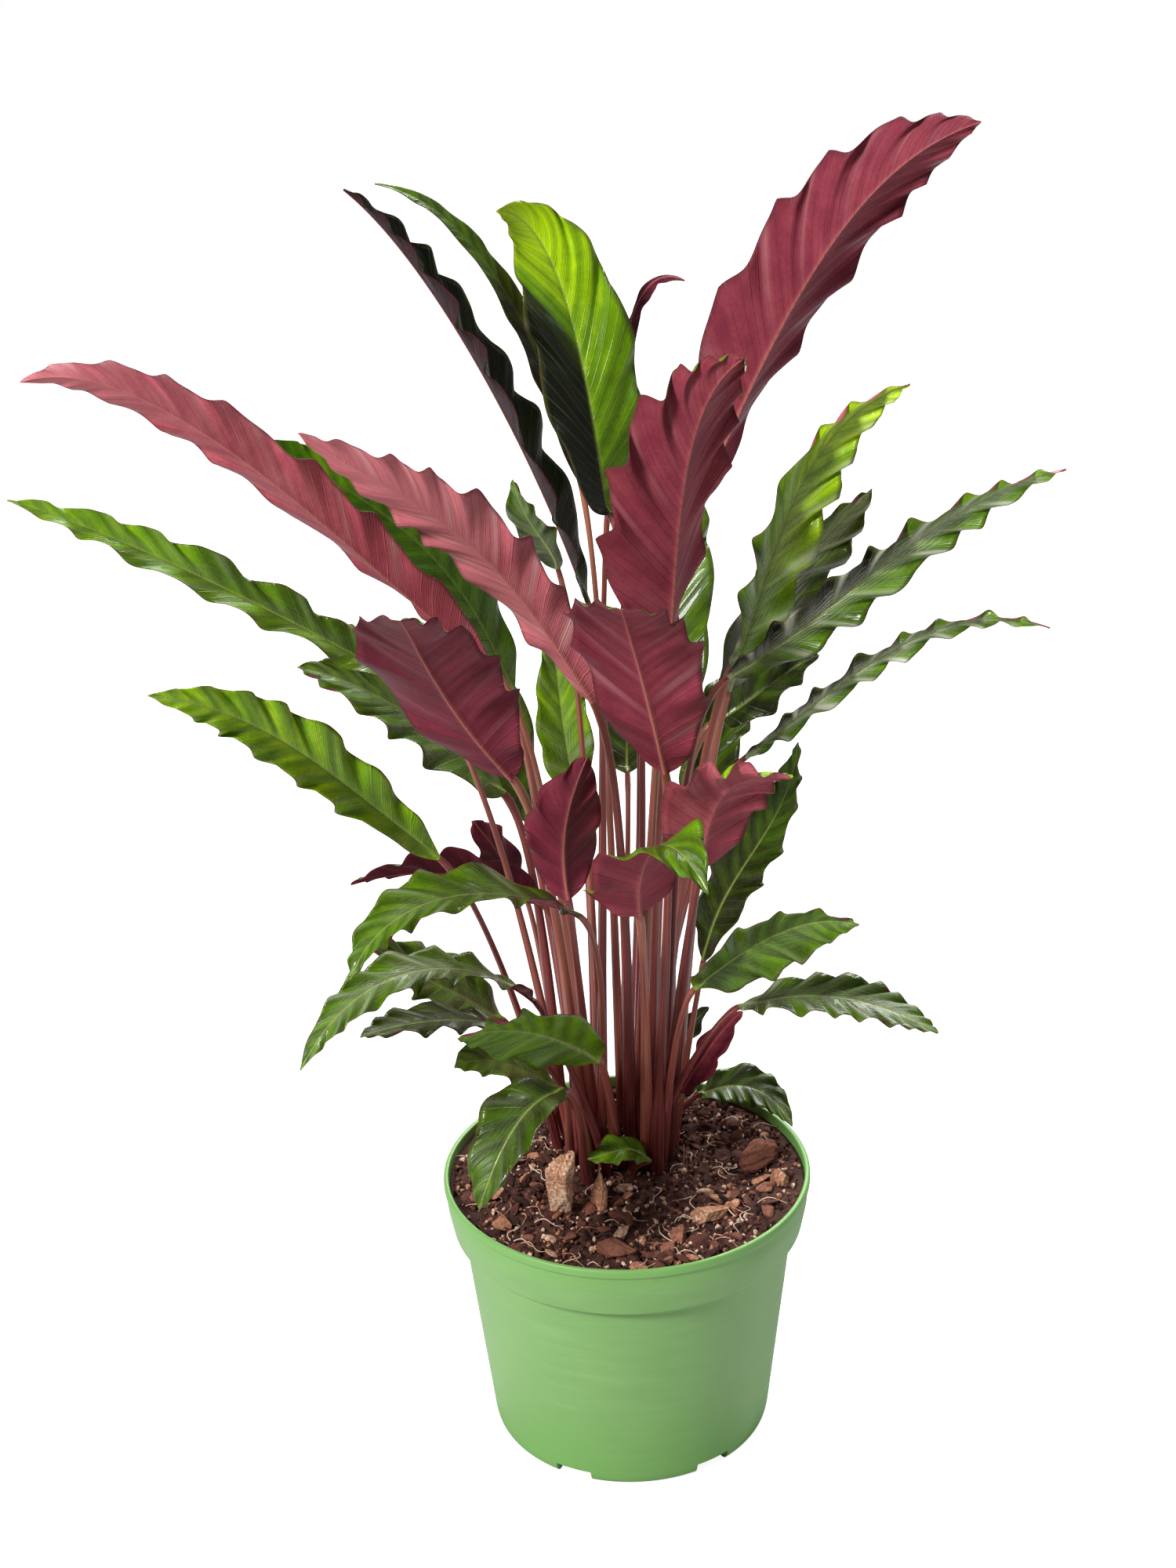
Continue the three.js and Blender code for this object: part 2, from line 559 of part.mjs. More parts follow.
// One bark chip: a block with uneven corners, sunk into the soil by its lower part. Its middle
// lies above the soil by the given share of its height.
function chipSolid(x, y, size, turn, tip, share, random) {
  const chip = new THREE.BoxGeometry(...size);
  const position = chip.attributes.position;
  const shift = new Map();
  for (let i = 0; i < position.count; i += 1) {
    const corner = [position.getX(i), position.getY(i), position.getZ(i)];
    const key = corner.map(Math.sign).join();
    if (!shift.has(key)) shift.set(key, corner.map((c) => c * (0.65 + 0.35 * random())));
    position.setXYZ(i, ...shift.get(key));
  }
  chip.rotateX(tip).rotateZ(turn);
  chip.translate(x, y, SOIL_TOP + soilBump(x, y) + size[2] * share);
  return toSolid(chip);
}

// The chips that stand out in the mix: place, size, turn and tip
const LARGE_CHIPS = [
  { at: [-31, -33], size: [13, 9, 28], turn: 0.3, tip: 0.2 },
  { at: [-14, -25], size: [7, 5, 15], turn: -0.4, tip: -0.2 },
  { at: [61, 9], size: [18, 13, 14], turn: 0.5, tip: 0.3 },
  { at: [37, -38], size: [14, 10, 9], turn: 0.2, tip: -0.3 },
  { at: [-6, -61], size: [16, 11, 10], turn: -0.2, tip: 0.2 },
  { at: [22, -53], size: [11, 8, 8], turn: 0.9, tip: 0.3 },
  { at: [-58, -38], size: [9, 6, 8], turn: -0.7, tip: 0.4 },
  { at: [-69, -17], size: [9, 7, 8], turn: 0.4, tip: -0.2 },
  { at: [71, -9], size: [8, 6, 9], turn: -0.3, tip: 0.2 },
];

function soilGeometry() {
  const random = seededRandom(CHIP_SEED);
  const solids = [soilBody()];
  LARGE_CHIPS.forEach(({ at, size, turn, tip }) => {
    solids.push(chipSolid(at[0], at[1], size, turn, tip, CHIP_SHARE.large, random));
  });
  let placed = 0;
  while (placed < CHIP_COUNT) {
    const radius = CHIP_REACH * Math.sqrt(random());
    const angle = 2 * Math.PI * random();
    const x = radius * Math.cos(angle);
    const y = radius * Math.sin(angle);
    const size = CHIP_LEAST.map((least, axis) => least + CHIP_SPREAD[axis] * random());
    const turn = Math.PI * random();
    const tip = random() - 0.5;
    const clear = LEAVES.every(({ foot }) => Math.hypot(foot[0] - x, foot[1] - y) > CHIP_FREE);
    if (clear) {
      solids.push(chipSolid(x, y, size, turn, tip, CHIP_SHARE.small, random));
      placed += 1;
    }
  }
  let soil = solids[0];
  solids.slice(1).forEach((chip) => {
    soil = soil.add(chip);
  });
  LEAVES.forEach((leaf) => {
    soil = soil.subtract(toSolid(footHole(leaf)));
  });
  return toGeometry(soil);
}

function finish(color, roughness) {
  return new THREE.MeshStandardMaterial({ color, roughness, metalness: 0 });
}

function piece(name, geometry, material) {
  const mesh = new THREE.Mesh(geometry, material);
  mesh.name = name;
  return mesh;
}

const plant = new THREE.Group();
plant.add(piece('pot', potGeometry(), finish(0x86c474, 0.45)));
plant.add(piece('soil', soilGeometry(), finish(0x4a2f22, 0.95)));
LEAVES.forEach((leaf) => {
  plant.add(piece(leaf.name, leafGeometry(leaf), finish(TONES[leaf.tone], 0.35)));
});

export default plant;
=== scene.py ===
# %% [markdown]
# # A prayer plant in its nursery pot
# This plant grows a fountain of long leaves from one clump of red stalks. Every leaf has a waved edge,
# a green upper face and a wine-red underside, and in this plant most leaves stand up, so that the red
# side is what one meets first. The pot is a thin plastic one, filled with bark mix.
#
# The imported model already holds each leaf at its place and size, as a coarse solid. Here each solid is
# replaced by a fine surface worked out from the same few measures, so that the form stays and the
# veins, the keel of the midrib, the ruffles and the colours come on top.

# %% Load the frame
import json
import math

import bpy
import numpy as np
from mathutils import Matrix, Vector


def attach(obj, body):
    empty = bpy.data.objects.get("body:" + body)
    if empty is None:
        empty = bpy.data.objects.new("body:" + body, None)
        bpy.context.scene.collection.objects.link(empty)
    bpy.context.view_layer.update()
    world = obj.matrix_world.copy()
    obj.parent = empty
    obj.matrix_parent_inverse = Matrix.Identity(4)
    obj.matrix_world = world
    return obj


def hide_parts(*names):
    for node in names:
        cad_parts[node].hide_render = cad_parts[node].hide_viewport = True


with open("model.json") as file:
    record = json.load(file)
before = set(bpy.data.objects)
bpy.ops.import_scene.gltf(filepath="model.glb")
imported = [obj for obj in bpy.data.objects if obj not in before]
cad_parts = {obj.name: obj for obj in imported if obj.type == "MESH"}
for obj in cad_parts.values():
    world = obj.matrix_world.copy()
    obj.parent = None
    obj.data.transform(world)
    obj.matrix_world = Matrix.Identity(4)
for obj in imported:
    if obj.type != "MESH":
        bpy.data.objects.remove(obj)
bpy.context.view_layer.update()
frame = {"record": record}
MM = 0.001

# %% [markdown]
# ## Camera
# The plant is seen from a little above, with a long lens, and the camera was held a touch crooked.
# A camera in Blender looks along its own -Z. It is tilted up from straight down by turning it about X,
# and rolled last, about its own Z. The focal length is given for a 36 mm sensor on the long side.

# %% Camera
CAMERA_PLACE = Vector((-0.013, -1.1, 0.825))
CAMERA_PITCH = math.radians(24.3)
CAMERA_ROLL = math.radians(1.6)
LENS_MM = 63.45
SENSOR_MM = 36

camera_data = bpy.data.cameras.new("camera")
camera_data.lens = LENS_MM
camera_data.sensor_width = SENSOR_MM
camera = bpy.data.objects.new("camera", camera_data)
bpy.context.scene.collection.objects.link(camera)
tilt = Matrix.Rotation(math.pi / 2 - CAMERA_PITCH, 4, "X")
camera.matrix_world = Matrix.Translation(CAMERA_PLACE) @ tilt @ Matrix.Rotation(-CAMERA_ROLL, 4, "Z")
bpy.context.scene.camera = camera
print("camera looks down by", round(math.degrees(CAMERA_PITCH), 1), "degrees")

# %% [markdown]
# ## Light
# Leaves look alive when light comes from two sides: a soft light in front models their ruffles with
# broad, pale reflections, and one from behind draws a bright line along stalks and edges. A weak third
# light on the right opens the deepest shade. Each is an area light, whose size sets how soft its
# shadows are.

# %% Soft lights
WHITE = (1.0, 1.0, 1.0)
AIM = Vector((0.0, 0.0, 0.3))
# Name, place in metres, size in metres, power in watts and colour
LIGHTS = (
    ("window_left", (-1.25, -1.3, 1.6), 0.5, 55, (1.0, 0.985, 0.96)),
    ("window_right", (1.6, -0.2, 1.3), 0.6, 3, (0.97, 0.98, 1.0)),
    ("window_behind", (0.3, 1.4, 1.7), 1.0, 46, WHITE),
)


def soft_light(name, place, size, watts, colour):
    """A square area light of that size in metres, which faces the plant."""
    data = bpy.data.lights.new(name, "AREA")
    data.size = size
    data.energy = watts
    data.color = colour
    lamp = bpy.data.objects.new(name, data)
    lamp.location = place
    lamp.rotation_mode = "QUATERNION"
    lamp.rotation_quaternion = (AIM - Vector(place)).to_track_quat("-Z", "Y")
    bpy.context.scene.collection.objects.link(lamp)


for light in LIGHTS:
    soft_light(*light)
print("lights:", len(bpy.data.lights))

# %% [markdown]
# ### The sky
# A white sky fills the shade from all sides. It has two strengths: what the camera sees directly is
# pure white, like a studio's backdrop, while the light that reaches the leaves is much weaker, so that
# their own shading stays deep. A Light Path node tells the two apart.

# %% White sky
SKY_STRENGTH = 0.13

world = bpy.data.worlds.new("white_sky")
world.use_nodes = True
sky_tree = world.node_tree
background = sky_tree.nodes["Background"]
background.inputs["Color"].default_value = (*WHITE, 1.0)
sky_path = sky_tree.nodes.new("ShaderNodeLightPath")
sky_level = sky_tree.nodes.new("ShaderNodeMapRange")
sky_level.inputs["To Min"].default_value = SKY_STRENGTH
sky_tree.links.new(sky_path.outputs["Is Camera Ray"], sky_level.inputs["Value"])
sky_tree.links.new(sky_level.outputs[0], background.inputs["Strength"])
bpy.context.scene.world = world
bpy.context.scene.view_settings.view_transform = "Standard"
print("sky strength in the shade:", SKY_STRENGTH)

# %% [markdown]
# ## Meshes from whole arrays
# Every surface below is a grid of points that numpy works out in one go. Blender takes such an array
# straight into a mesh with foreach_set, which is far quicker than adding vertices one by one. A grid
# that runs round a stalk or a leaf is closed on itself across, and capped by a fan at both ends. Extra
# numbers, such as how far along a leaf a point lies, travel with the mesh for its materials to read.

# %% Mesh helpers
def mesh_from(name, points, quads, triangles=None):
    """A smooth-shaded mesh from an array of points, one of four-cornered and one of three-cornered
    faces."""
    triangles = np.empty((0, 3), int) if triangles is None else triangles
    corners = np.concatenate([quads.ravel(), triangles.ravel()])
    sizes = np.concatenate([np.full(len(quads), 4), np.full(len(triangles), 3)])
    mesh = bpy.data.meshes.new(name)
    mesh.vertices.add(len(points))
    mesh.vertices.foreach_set("co", points.astype(np.float32).ravel())
    mesh.loops.add(len(corners))
    mesh.loops.foreach_set("vertex_index", corners.astype(np.int32))
    mesh.polygons.add(len(sizes))
    mesh.polygons.foreach_set("loop_start", (np.cumsum(sizes) - sizes).astype(np.int32))
    mesh.update(calc_edges=True)
    mesh.validate()
    mesh.polygons.foreach_set("use_smooth", np.ones(len(sizes), bool))
    return mesh


def add_values(mesh, name, values):
    """Keeps one number for each vertex, for materials to read."""
    mesh.attributes.new(name, "FLOAT", "POINT").data.foreach_set("value", values.astype(np.float32))


def add_uv(mesh, name, across, along):
    """Keeps two numbers for each vertex as a UV map."""
    corner = np.empty(len(mesh.loops), np.int32)
    mesh.loops.foreach_get("vertex_index", corner)
    pairs = np.stack([across, along], axis=1).astype(np.float32)[corner]
    mesh.uv_layers.new(name=name).data.foreach_set("uv", pairs.ravel())


print("mesh helpers ready")

# %% Pieces and closed grids
def add_piece(name, mesh, materials, slot, *replaced):
    """Puts a mesh in the scene as a piece of the plant, standing for the named coarse solids."""
    made = bpy.data.objects.new(name, mesh)
    bpy.context.scene.collection.objects.link(made)
    for material in materials:
        mesh.materials.append(material)
    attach(made, "root")
    if replaced:
        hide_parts(*replaced)
    return made


def tube_faces(rows, columns):
    """Faces of a grid that closes on itself across and has a fan at each end. The two hubs of the
    fans come after the grid's own points."""
    row = np.arange(rows - 1)[:, None] * columns
    here = np.arange(columns)[None, :]
    beside = (here + 1) % columns
    quads = np.stack([row + here, row + columns + here, row + columns + beside, row + beside], axis=2)
    hub = rows * columns
    last = (rows - 1) * columns
    first_fan = np.stack([np.full(columns, hub), here[0], beside[0]], axis=1)
    last_fan = np.stack([np.full(columns, hub + 1), last + beside[0], last + here[0]], axis=1)
    return quads.reshape(-1, 4), np.concatenate([first_fan, last_fan])


print("faces of a tube of 3 rows and 4 columns:", [len(faces) for faces in tube_faces(3, 4)])

# %% [markdown]
# ## Measures of every leaf
# Each leaf has the place where its stalk leaves the mix, four points that its midrib passes through,
# the width of its blade, how far the blade is rolled at its base and twisted on the way to its tip,
# how much the two halves fold up from the midrib, and how many waves run along each edge. All are in
# millimetres and degrees. The shade says how light the leaf is at its base and at its tip, and paints
# light and shade over the leaf's own tone: from -1, nearly black, as in deep shadow, to 1, the yellow
# green of a leaf with the light shining through it. Values past 1 keep the lightest tone and only
# carry it further down the leaf.
#
# Some leaves have more values of their own, in place of the shared ones:
# - ruffle is how high the edge waves, as a share of the width, and belly is where the blade is widest.
# - scallop is how far the edge swings in and out. Above 0 the outline bulges at the start of each wave,
#   and below 0 it bulges between them.
# - sides lightens or darkens the lower part of the left and the right half, where one half lies in the
#   shade of a neighbour.
# - pale is how strongly the painted highlights show, as pale streaks beside the midrib and on the crests of
#   the waves.

# %% Measures of every leaf
LEAVES = {
    "leaf_tall_right": dict(
        foot=(11, 27), rib=((36, 5, 454), (68, -10, 529), (101, -30, 587), (142, -50, 620)),
        width=53, roll=-30, twist=-50, fold=35, waves=7, shade=(0, 0.2),
        pale=0.2, scallop=-0.16),
    "leaf_tall_centre": dict(
        foot=(6, 22), rib=((20, -30, 389), (25, -40, 445), (32, -55, 500), (50, -85, 541)),
        width=58, roll=25, twist=-50, fold=25, waves=7, shade=(0.1, 0.25),
        sides=(0.25, 0), pale=0.2, scallop=-0.18),
    "leaf_bright_top": dict(
        foot=(5, 37), rib=((0, 62, 431), (-6, 75, 467), (-19, 88, 528), (-45, 72, 564)),
        width=51, roll=-20, twist=-50, fold=10, waves=6, ruffle=0.04, shade=(-0.2, 1.3),
        sides=(-1.9, 0)),
    "leaf_narrow_top": dict(
        foot=(-1, 47), rib=((-13, 96, 436), (-29, 90, 492), (-55, 74, 548), (-94, 45, 583)),
        width=14, roll=-85, twist=45, fold=5, waves=5, ruffle=0.05, shade=(-0.6, 0.35),
        sides=(-0.3, 0.2)),
    "leaf_dark_folded_top": dict(
        foot=(-11, 39), rib=((-11, 20, 406), (-37, 5, 482), (-69, -10, 550), (-101, -30, 597)),
        width=26, roll=-50, twist=30, fold=30, waves=8, ruffle=0.1, shade=(-1, -0.85)),
    "leaf_small_twisted_top": dict(
        foot=(-10, 69), rib=((0, 112, 420), (6, 118, 470), (16, 118, 511), (36, 108, 523)),
        width=11, roll=-150, twist=0, fold=5, waves=4, shade=(-0.4, -0.4)),
    "leaf_long_far_left": dict(
        foot=(-16, 28), rib=((-53, -10, 389), (-109, -35, 455), (-169, -60, 517), (-224, -80, 538)),
        width=30, roll=35, twist=60, fold=35, waves=8, ruffle=0.08, shade=(0.3, 1),
        pale=0.4, scallop=-0.2),
    "leaf_rose_left": dict(
        foot=(3, 11), rib=((-10, -35, 382), (-45, -60, 448), (-76, -80, 485), (-118, -100, 521)),
        width=34, roll=35, twist=30, fold=15, waves=7, shade=(0.6, 1.25),
        sides=(0, 0.2), pale=1, scallop=-0.22),
    "leaf_green_under_rose": dict(
        foot=(-20, 35), rib=((-45, 25, 361), (-72, 5, 428), (-105, -15, 468), (-136, -35, 499)),
        width=36, roll=-70, twist=0, fold=12, waves=7, shade=(0.15, 0.4)),
    "leaf_green_far_left": dict(
        foot=(-25, 21), rib=((-81, -25, 383), (-129, -45, 423), (-184, -65, 463), (-233, -85, 493)),
        width=22, roll=-35, twist=-15, fold=15, waves=7, ruffle=0.13, shade=(0.15, 0.5),
        sides=(0.1, -0.3), pale=0.2),
    "leaf_green_mid_left": dict(
        foot=(-32, 26), rib=((-76, -65, 326), (-115, -88, 375), (-146, -108, 408), (-179, -128, 428)),
        width=27, roll=-65, twist=0, fold=14, waves=7, ruffle=0.12, shade=(0.45, 0.6),
        pale=0.15),
    "leaf_oval_left": dict(
        foot=(-18, 8), rib=((-45, -50, 355), (-67, -70, 396), (-78, -97, 432), (-81, -140, 460)),
        width=59, roll=5, twist=0, fold=5, waves=5, ruffle=0.05, belly=0.48, shade=(-0.12, -0.05),
        pale=0.12, scallop=-0.14),
    "leaf_oval_centre": dict(
        foot=(14, 2), rib=((19, -58, 359), (12, -74, 398), (5, -98, 435), (1, -140, 462)),
        width=53, roll=-5, twist=0, fold=5, waves=5, ruffle=0.05, belly=0.55, shade=(0.05, 0.15),
        pale=0.25, scallop=-0.16),
    "leaf_small_oval_centre": dict(
        foot=(-14, 16), rib=((-23, -48, 297), (-24, -54, 322), (-21, -62, 346), (-13, -74, 374)),
        width=33, roll=-15, twist=0, fold=20, waves=4, shade=(-0.12, -0.05)),
    "leaf_small_arched_centre": dict(
        foot=(10, 8), rib=((7, -65, 297), (8, -82, 326), (17, -103, 347), (33, -128, 337)),
        width=46, roll=0, twist=10, fold=6, waves=4, belly=0.38, shade=(0.3, 0.1),
        scallop=-0.16),
    "leaf_oval_right": dict(
        foot=(20, 16), rib=((33, -50, 310), (38, -62, 341), (48, -75, 361), (69, -92, 370)),
        width=46, roll=-25, twist=0, fold=5, waves=5, shade=(0.45, 0.7),
        scallop=-0.1),
    "leaf_dark_right": dict(
        foot=(23, 25), rib=((37, 4, 238), (50, -4, 280), (67, -12, 314), (77, -20, 354)),
        width=25, roll=80, twist=0, fold=12, waves=6, ruffle=0.13, shade=(-0.6, 0.1)),
    "leaf_bright_low_right": dict(
        foot=(17, 10), rib=((31, -50, 253), (52, -75, 284), (73, -98, 307), (94, -115, 315)),
        width=30, roll=140, twist=-40, fold=25, waves=5, shade=(-0.15, 0.05),
        pale=0.2),
    "leaf_wavy_low_right": dict(
        foot=(9, 14), rib=((51, -35, 235), (79, -58, 252), (105, -75, 256), (131, -88, 249)),
        width=26, roll=15, twist=0, fold=5, waves=8, shade=(-0.2, -0.1),
        pale=0.8),
    "leaf_small_folded_right": dict(
        foot=(13, 19), rib=((27, 10, 166), (36, 2, 187), (44, -8, 206), (53, -20, 224)),
        width=18, roll=-115, twist=0, fold=5, waves=3, shade=(0, 0.3)),
    "leaf_over_back_rim": dict(
        foot=(22, 47), rib=((37, 51, 140), (51, 48, 146), (66, 41, 146), (79, 24, 137)),
        width=22, roll=30, twist=0, fold=5, waves=6, ruffle=0.08, shade=(-0.25, -0.05),
        pale=0.6),
    "leaf_striped_upright_right": dict(
        foot=(13, 39), rib=((53, 42, 365), (67, 38, 408), (87, 30, 462), (126, 18, 499)),
        width=34, roll=150, twist=-25, fold=20, waves=7, ruffle=0.1, shade=(0.1, 1.1),
        sides=(-0.2, 0.2), pale=0.8),
    "leaf_striped_behind_right": dict(
        foot=(23, 41), rib=((52, 62, 345), (72, 64, 387), (93, 62, 415), (115, 56, 441)),
        width=36, roll=120, twist=0, fold=10, waves=5, shade=(-0.7, 0.35),
        pale=1.2),
    "leaf_striped_long_right": dict(
        foot=(19, 32), rib=((50, 22, 368), (93, 8, 405), (137, -8, 446), (185, -25, 474)),
        width=25, roll=110, twist=25, fold=10, waves=8, ruffle=0.14, shade=(-0.55, 0.55),
        sides=(-0.9, 0.3), pale=1.8),
    "leaf_dark_lobed_right": dict(
        foot=(21, 53), rib=((47, 78, 323), (62, 78, 333), (78, 76, 346), (94, 72, 357)),
        width=31, roll=30, twist=0, fold=5, waves=3, shade=(-0.5, -0.3)),
    "leaf_slender_right": dict(
        foot=(17, 23), rib=((56, -2, 340), (90, -15, 374), (132, -28, 406), (179, -38, 410)),
        width=12, roll=120, twist=0, fold=5, waves=8, ruffle=0.22, shade=(-0.35, 0.25),
        sides=(-0.5, 0.2), pale=2),
    "leaf_bright_behind_centre": dict(
        foot=(-12, 61), rib=((-18, 100, 277), (-23, 105, 303), (-26, 108, 332), (-29, 108, 360)),
        width=31, roll=-50, twist=0, fold=35, waves=5, shade=(0.35, 0.55),
        pale=0.5),
    "leaf_small_twisted_back": dict(
        foot=(-11, 54), rib=((-24, 92, 395), (-30, 95, 407), (-37, 94, 419), (-43, 86, 440)),
        width=24, roll=-145, twist=0, fold=5, waves=3, shade=(-0.6, 0),
        pale=0.4),
    "leaf_grey_green_left": dict(
        foot=(-29, 35), rib=((-51, 20, 316), (-77, 5, 350), (-102, -10, 377), (-133, -25, 397)),
        width=40, roll=-40, twist=0, fold=5, waves=6, shade=(-0.1, 0.1),
        pale=0.35),
    "leaf_small_dark_left": dict(
        foot=(-28, 45), rib=((-46, 50, 255), (-52, 44, 268), (-58, 38, 282), (-66, 32, 297)),
        width=26, roll=110, twist=0, fold=5, waves=3, shade=(-0.3, -0.2)),
    "leaf_arching_left": dict(
        foot=(-11, 9), rib=((-19, -66, 298), (-55, -98, 325), (-87, -126, 331), (-108, -146, 313)),
        width=29, roll=-10, twist=0, fold=15, waves=6, shade=(-0.05, 0.2),
        pale=0.4),
    "leaf_drooping_left": dict(
        foot=(-9, 3), rib=((-39, -45, 246), (-67, -80, 281), (-101, -110, 291), (-132, -132, 265)),
        width=24, roll=0, twist=-30, fold=5, waves=7, ruffle=0.12, shade=(-0.1, 0.05),
        pale=0.7),
    "leaf_short_left": dict(
        foot=(-25, 28), rib=((-56, 15, 204), (-74, -2, 227), (-93, -18, 248), (-111, -34, 272)),
        width=34, roll=-45, twist=0, fold=5, waves=5, shade=(-0.05, 0.15),
        pale=0.25),
    "leaf_slim_low_left": dict(
        foot=(-13, 22), rib=((-54, -40, 232), (-73, -58, 245), (-92, -75, 253), (-111, -90, 256)),
        width=26, roll=-5, twist=0, fold=5, waves=5, shade=(-0.5, -0.2),
        pale=0.3),
    "leaf_bright_low_left": dict(
        foot=(-4, 10), rib=((-12, -35, 210), (-31, -68, 240), (-50, -92, 258), (-69, -112, 266)),
        width=32, roll=-125, twist=0, fold=5, waves=4, shade=(0.15, 0.4),
        pale=0.15),
    "leaf_dark_low_left": dict(
        foot=(-26, 11), rib=((-30, -30, 193), (-46, -48, 214), (-60, -64, 228), (-73, -78, 233)),
        width=29, roll=-35, twist=0, fold=10, waves=4, shade=(0, 0.25),
        pale=0.15),
    "leaf_over_front_rim": dict(
        foot=(-18, -2), rib=((-28, -66, 213), (-43, -84, 214), (-55, -98, 201), (-64, -106, 180)),
        width=32, roll=-5, twist=0, fold=20, waves=4, ruffle=0.05, shade=(-0.35, -0.1),
        pale=0.15),
    "leaf_tiny_at_soil": dict(
        foot=(2, 3), rib=((10, -9, 141), (1, -12, 149), (-8, -15, 149), (-18, -18, 148)),
        width=18, roll=-15, twist=0, fold=5, waves=3, shade=(0.1, 0.1)),
    "leaf_tiny_back_right": dict(
        foot=(13, 65), rib=((22, 80, 143), (29, 84, 152), (36, 86, 160), (43, 86, 168)),
        width=16, roll=10, twist=0, fold=5, waves=2, shade=(-0.6, -0.6)),
    "leaf_burgundy_low_left": dict(
        foot=(-22, 15), rib=((-36, 25, 258), (-63, 5, 281), (-89, -15, 295), (-116, -35, 300)),
        width=28, roll=40, twist=0, fold=20, waves=5, shade=(-0.4, -0.2)),
    "leaf_back_tall": dict(
        foot=(12, 55), rib=((24, 92, 300), (26, 122, 355), (28, 154, 400), (34, 194, 430)),
        width=44, roll=0, twist=20, fold=15, waves=7, shade=(-0.1, 0.3)),
    "leaf_back_left": dict(
        foot=(-21, 62), rib=((-42, 88, 270), (-60, 112, 310), (-84, 140, 335), (-112, 172, 340)),
        width=42, roll=10, twist=-15, fold=15, waves=6, shade=(-0.3, 0.1)),
    "leaf_back_right": dict(
        foot=(6, 60), rib=((41, 92, 264), (48, 112, 292), (58, 132, 312), (72, 150, 331)),
        width=32, roll=-10, twist=15, fold=15, waves=6, shade=(-0.2, 0.1)),
    "leaf_back_low": dict(
        foot=(0, 71), rib=((6, 108, 285), (7, 128, 299), (10, 148, 314), (13, 168, 326)),
        width=30, roll=0, twist=10, fold=12, waves=5, shade=(-0.4, 0)),
}
print("leaves:", len(LEAVES))

# %% [markdown]
# ## The midrib and the cross-sections along it
# A leaf hangs on its midrib, so the midrib comes first: one cubic through the leaf's four points. At
# each step along it stands a small frame of three directions: ahead along the rib, left across the
# blade, and up out of the green face. The roll turns that frame about the rib, and the twist adds to
# it towards the tip. With these, a blade is a flat outline that rides on a curve.

# %% Midribs
RIB_STEPS = 60


def curve_through(corners):
    """Coefficients of the cubic that passes through four points at t = 0, 1/3, 2/3 and 1."""
    steps = np.linspace(0, 1, len(corners))
    return np.linalg.solve(np.vander(steps, increasing=True), np.array(corners, float))


def along_rib(cubic, t):
    """Points of the cubic at t, the sum of coefficient times power of t, and its slope there."""
    powers = np.stack([t ** k for k in range(len(cubic))], axis=-1)
    slopes = np.stack([k * t ** max(k - 1, 0) for k in range(len(cubic))], axis=-1)
    return powers @ cubic, slopes @ cubic


def rib_length(cubic):
    """Length of a midrib in millimetres, summed over short straight steps."""
    points = along_rib(cubic, np.linspace(0, 1, RIB_STEPS))[0]
    return np.linalg.norm(np.diff(points, axis=0), axis=1).sum()


def unit(vectors):
    """The same directions with length 1."""
    return vectors / np.linalg.norm(vectors, axis=-1, keepdims=True)


rib_lengths = [rib_length(curve_through(leaf["rib"])) for leaf in LEAVES.values()]
print("midribs from", round(min(rib_lengths)), "to", round(max(rib_lengths)), "mm long")

# %% Section frames
def section_frames(forward, side, roll):
    """Left and up directions of cross-sections: the level side made square to the way ahead, then
    turned about it by the roll in degrees."""
    ahead = unit(forward)
    level = unit(side - ahead * (ahead @ side)[..., None])
    over = np.cross(ahead, level)
    turn = np.radians(roll)[..., None]
    left = level * np.cos(turn) + over * np.sin(turn)
    return left, np.cross(ahead, left)


def level_side(rib):
    """The level direction to the left of a leaf, for one who walks from its base to its tip."""
    heading = np.array(rib[-1], float) - np.array(rib[0], float)
    return unit(np.array([-heading[1], heading[0], 0.0]))


print("left of the first leaf:", level_side(LEAVES["leaf_tall_right"]["rib"]).round(2))

# %% [markdown]
# ## The blade
# The outline is a power curve: it rises fast from the stalk, is widest at the belly, and runs out in a
# drawn tip. Side veins leave the midrib at a sharp angle, so a line of equal s is swept towards the
# tip as it goes out. The ruffles follow those veins: the edge grows faster than the middle, and has to
# swing up and down in waves that fade towards the midrib, with the two edges taking turns. A slow sine
# shifts each wave a little and another one makes some waves taller, so that no two are alike. Finer
# ripples between the veins, a groove above the midrib and a round keel below it come on top.

# %% Outline of a blade
BELLY = 0.42
OUTLINE_RISE = 0.62
WIDE_LEAF = 30
STALK_WIDE = dict(foot=3.3, top=1.75)
STALK_SLIM = dict(foot=2.35, top=1.25)


def outline(t, belly):
    """Share of the full half width at t: t^rise (1 - t)^fall, scaled to reach 1 at the belly."""
    fall = OUTLINE_RISE * (1 - belly) / belly
    peak = belly ** OUTLINE_RISE * (1 - belly) ** fall
    return t ** OUTLINE_RISE * (1 - t) ** fall / peak


def smooth(x):
    """The soft step 3x^2 - 2x^3, level at 0 and at 1."""
    x = np.clip(x, 0, 1)
    return x * x * (3 - 2 * x)


def stalk_radii(leaf):
    """Radii in millimetres at the foot and at the blade, larger where the leaf is wide."""
    return STALK_WIDE if leaf["width"] > WIDE_LEAF else STALK_SLIM


print("half width at a tenth of the way:", round(outline(0.1, BELLY), 2))

# %% [markdown]
# ### Waves of the edge
# The height of the edge is a sine that leans over a little, with a weak overtone. Its phase tells where
# on a wave a point is, so the same phase also swings the outline in and out, and marks the crests,
# which get a painted highlight for the light they catch.

# %% Ruffles
RUFFLE = 0.085
RUFFLE_TAPER = 0.6
RUFFLE_FADE = 1.9
EDGE_APART = 2.1
WAVE_LEAN = 0.55
OVERTONE = 0.16
DRIFT = dict(size=0.75, pace=2.3, apart=1.7)
SWING = dict(size=0.3, pace=1.9)
# Where the painted highlight on each crest lies, how narrow it is, and how it fades towards the midrib.
CREST = dict(place=0.9, power=7, fade=0.5)


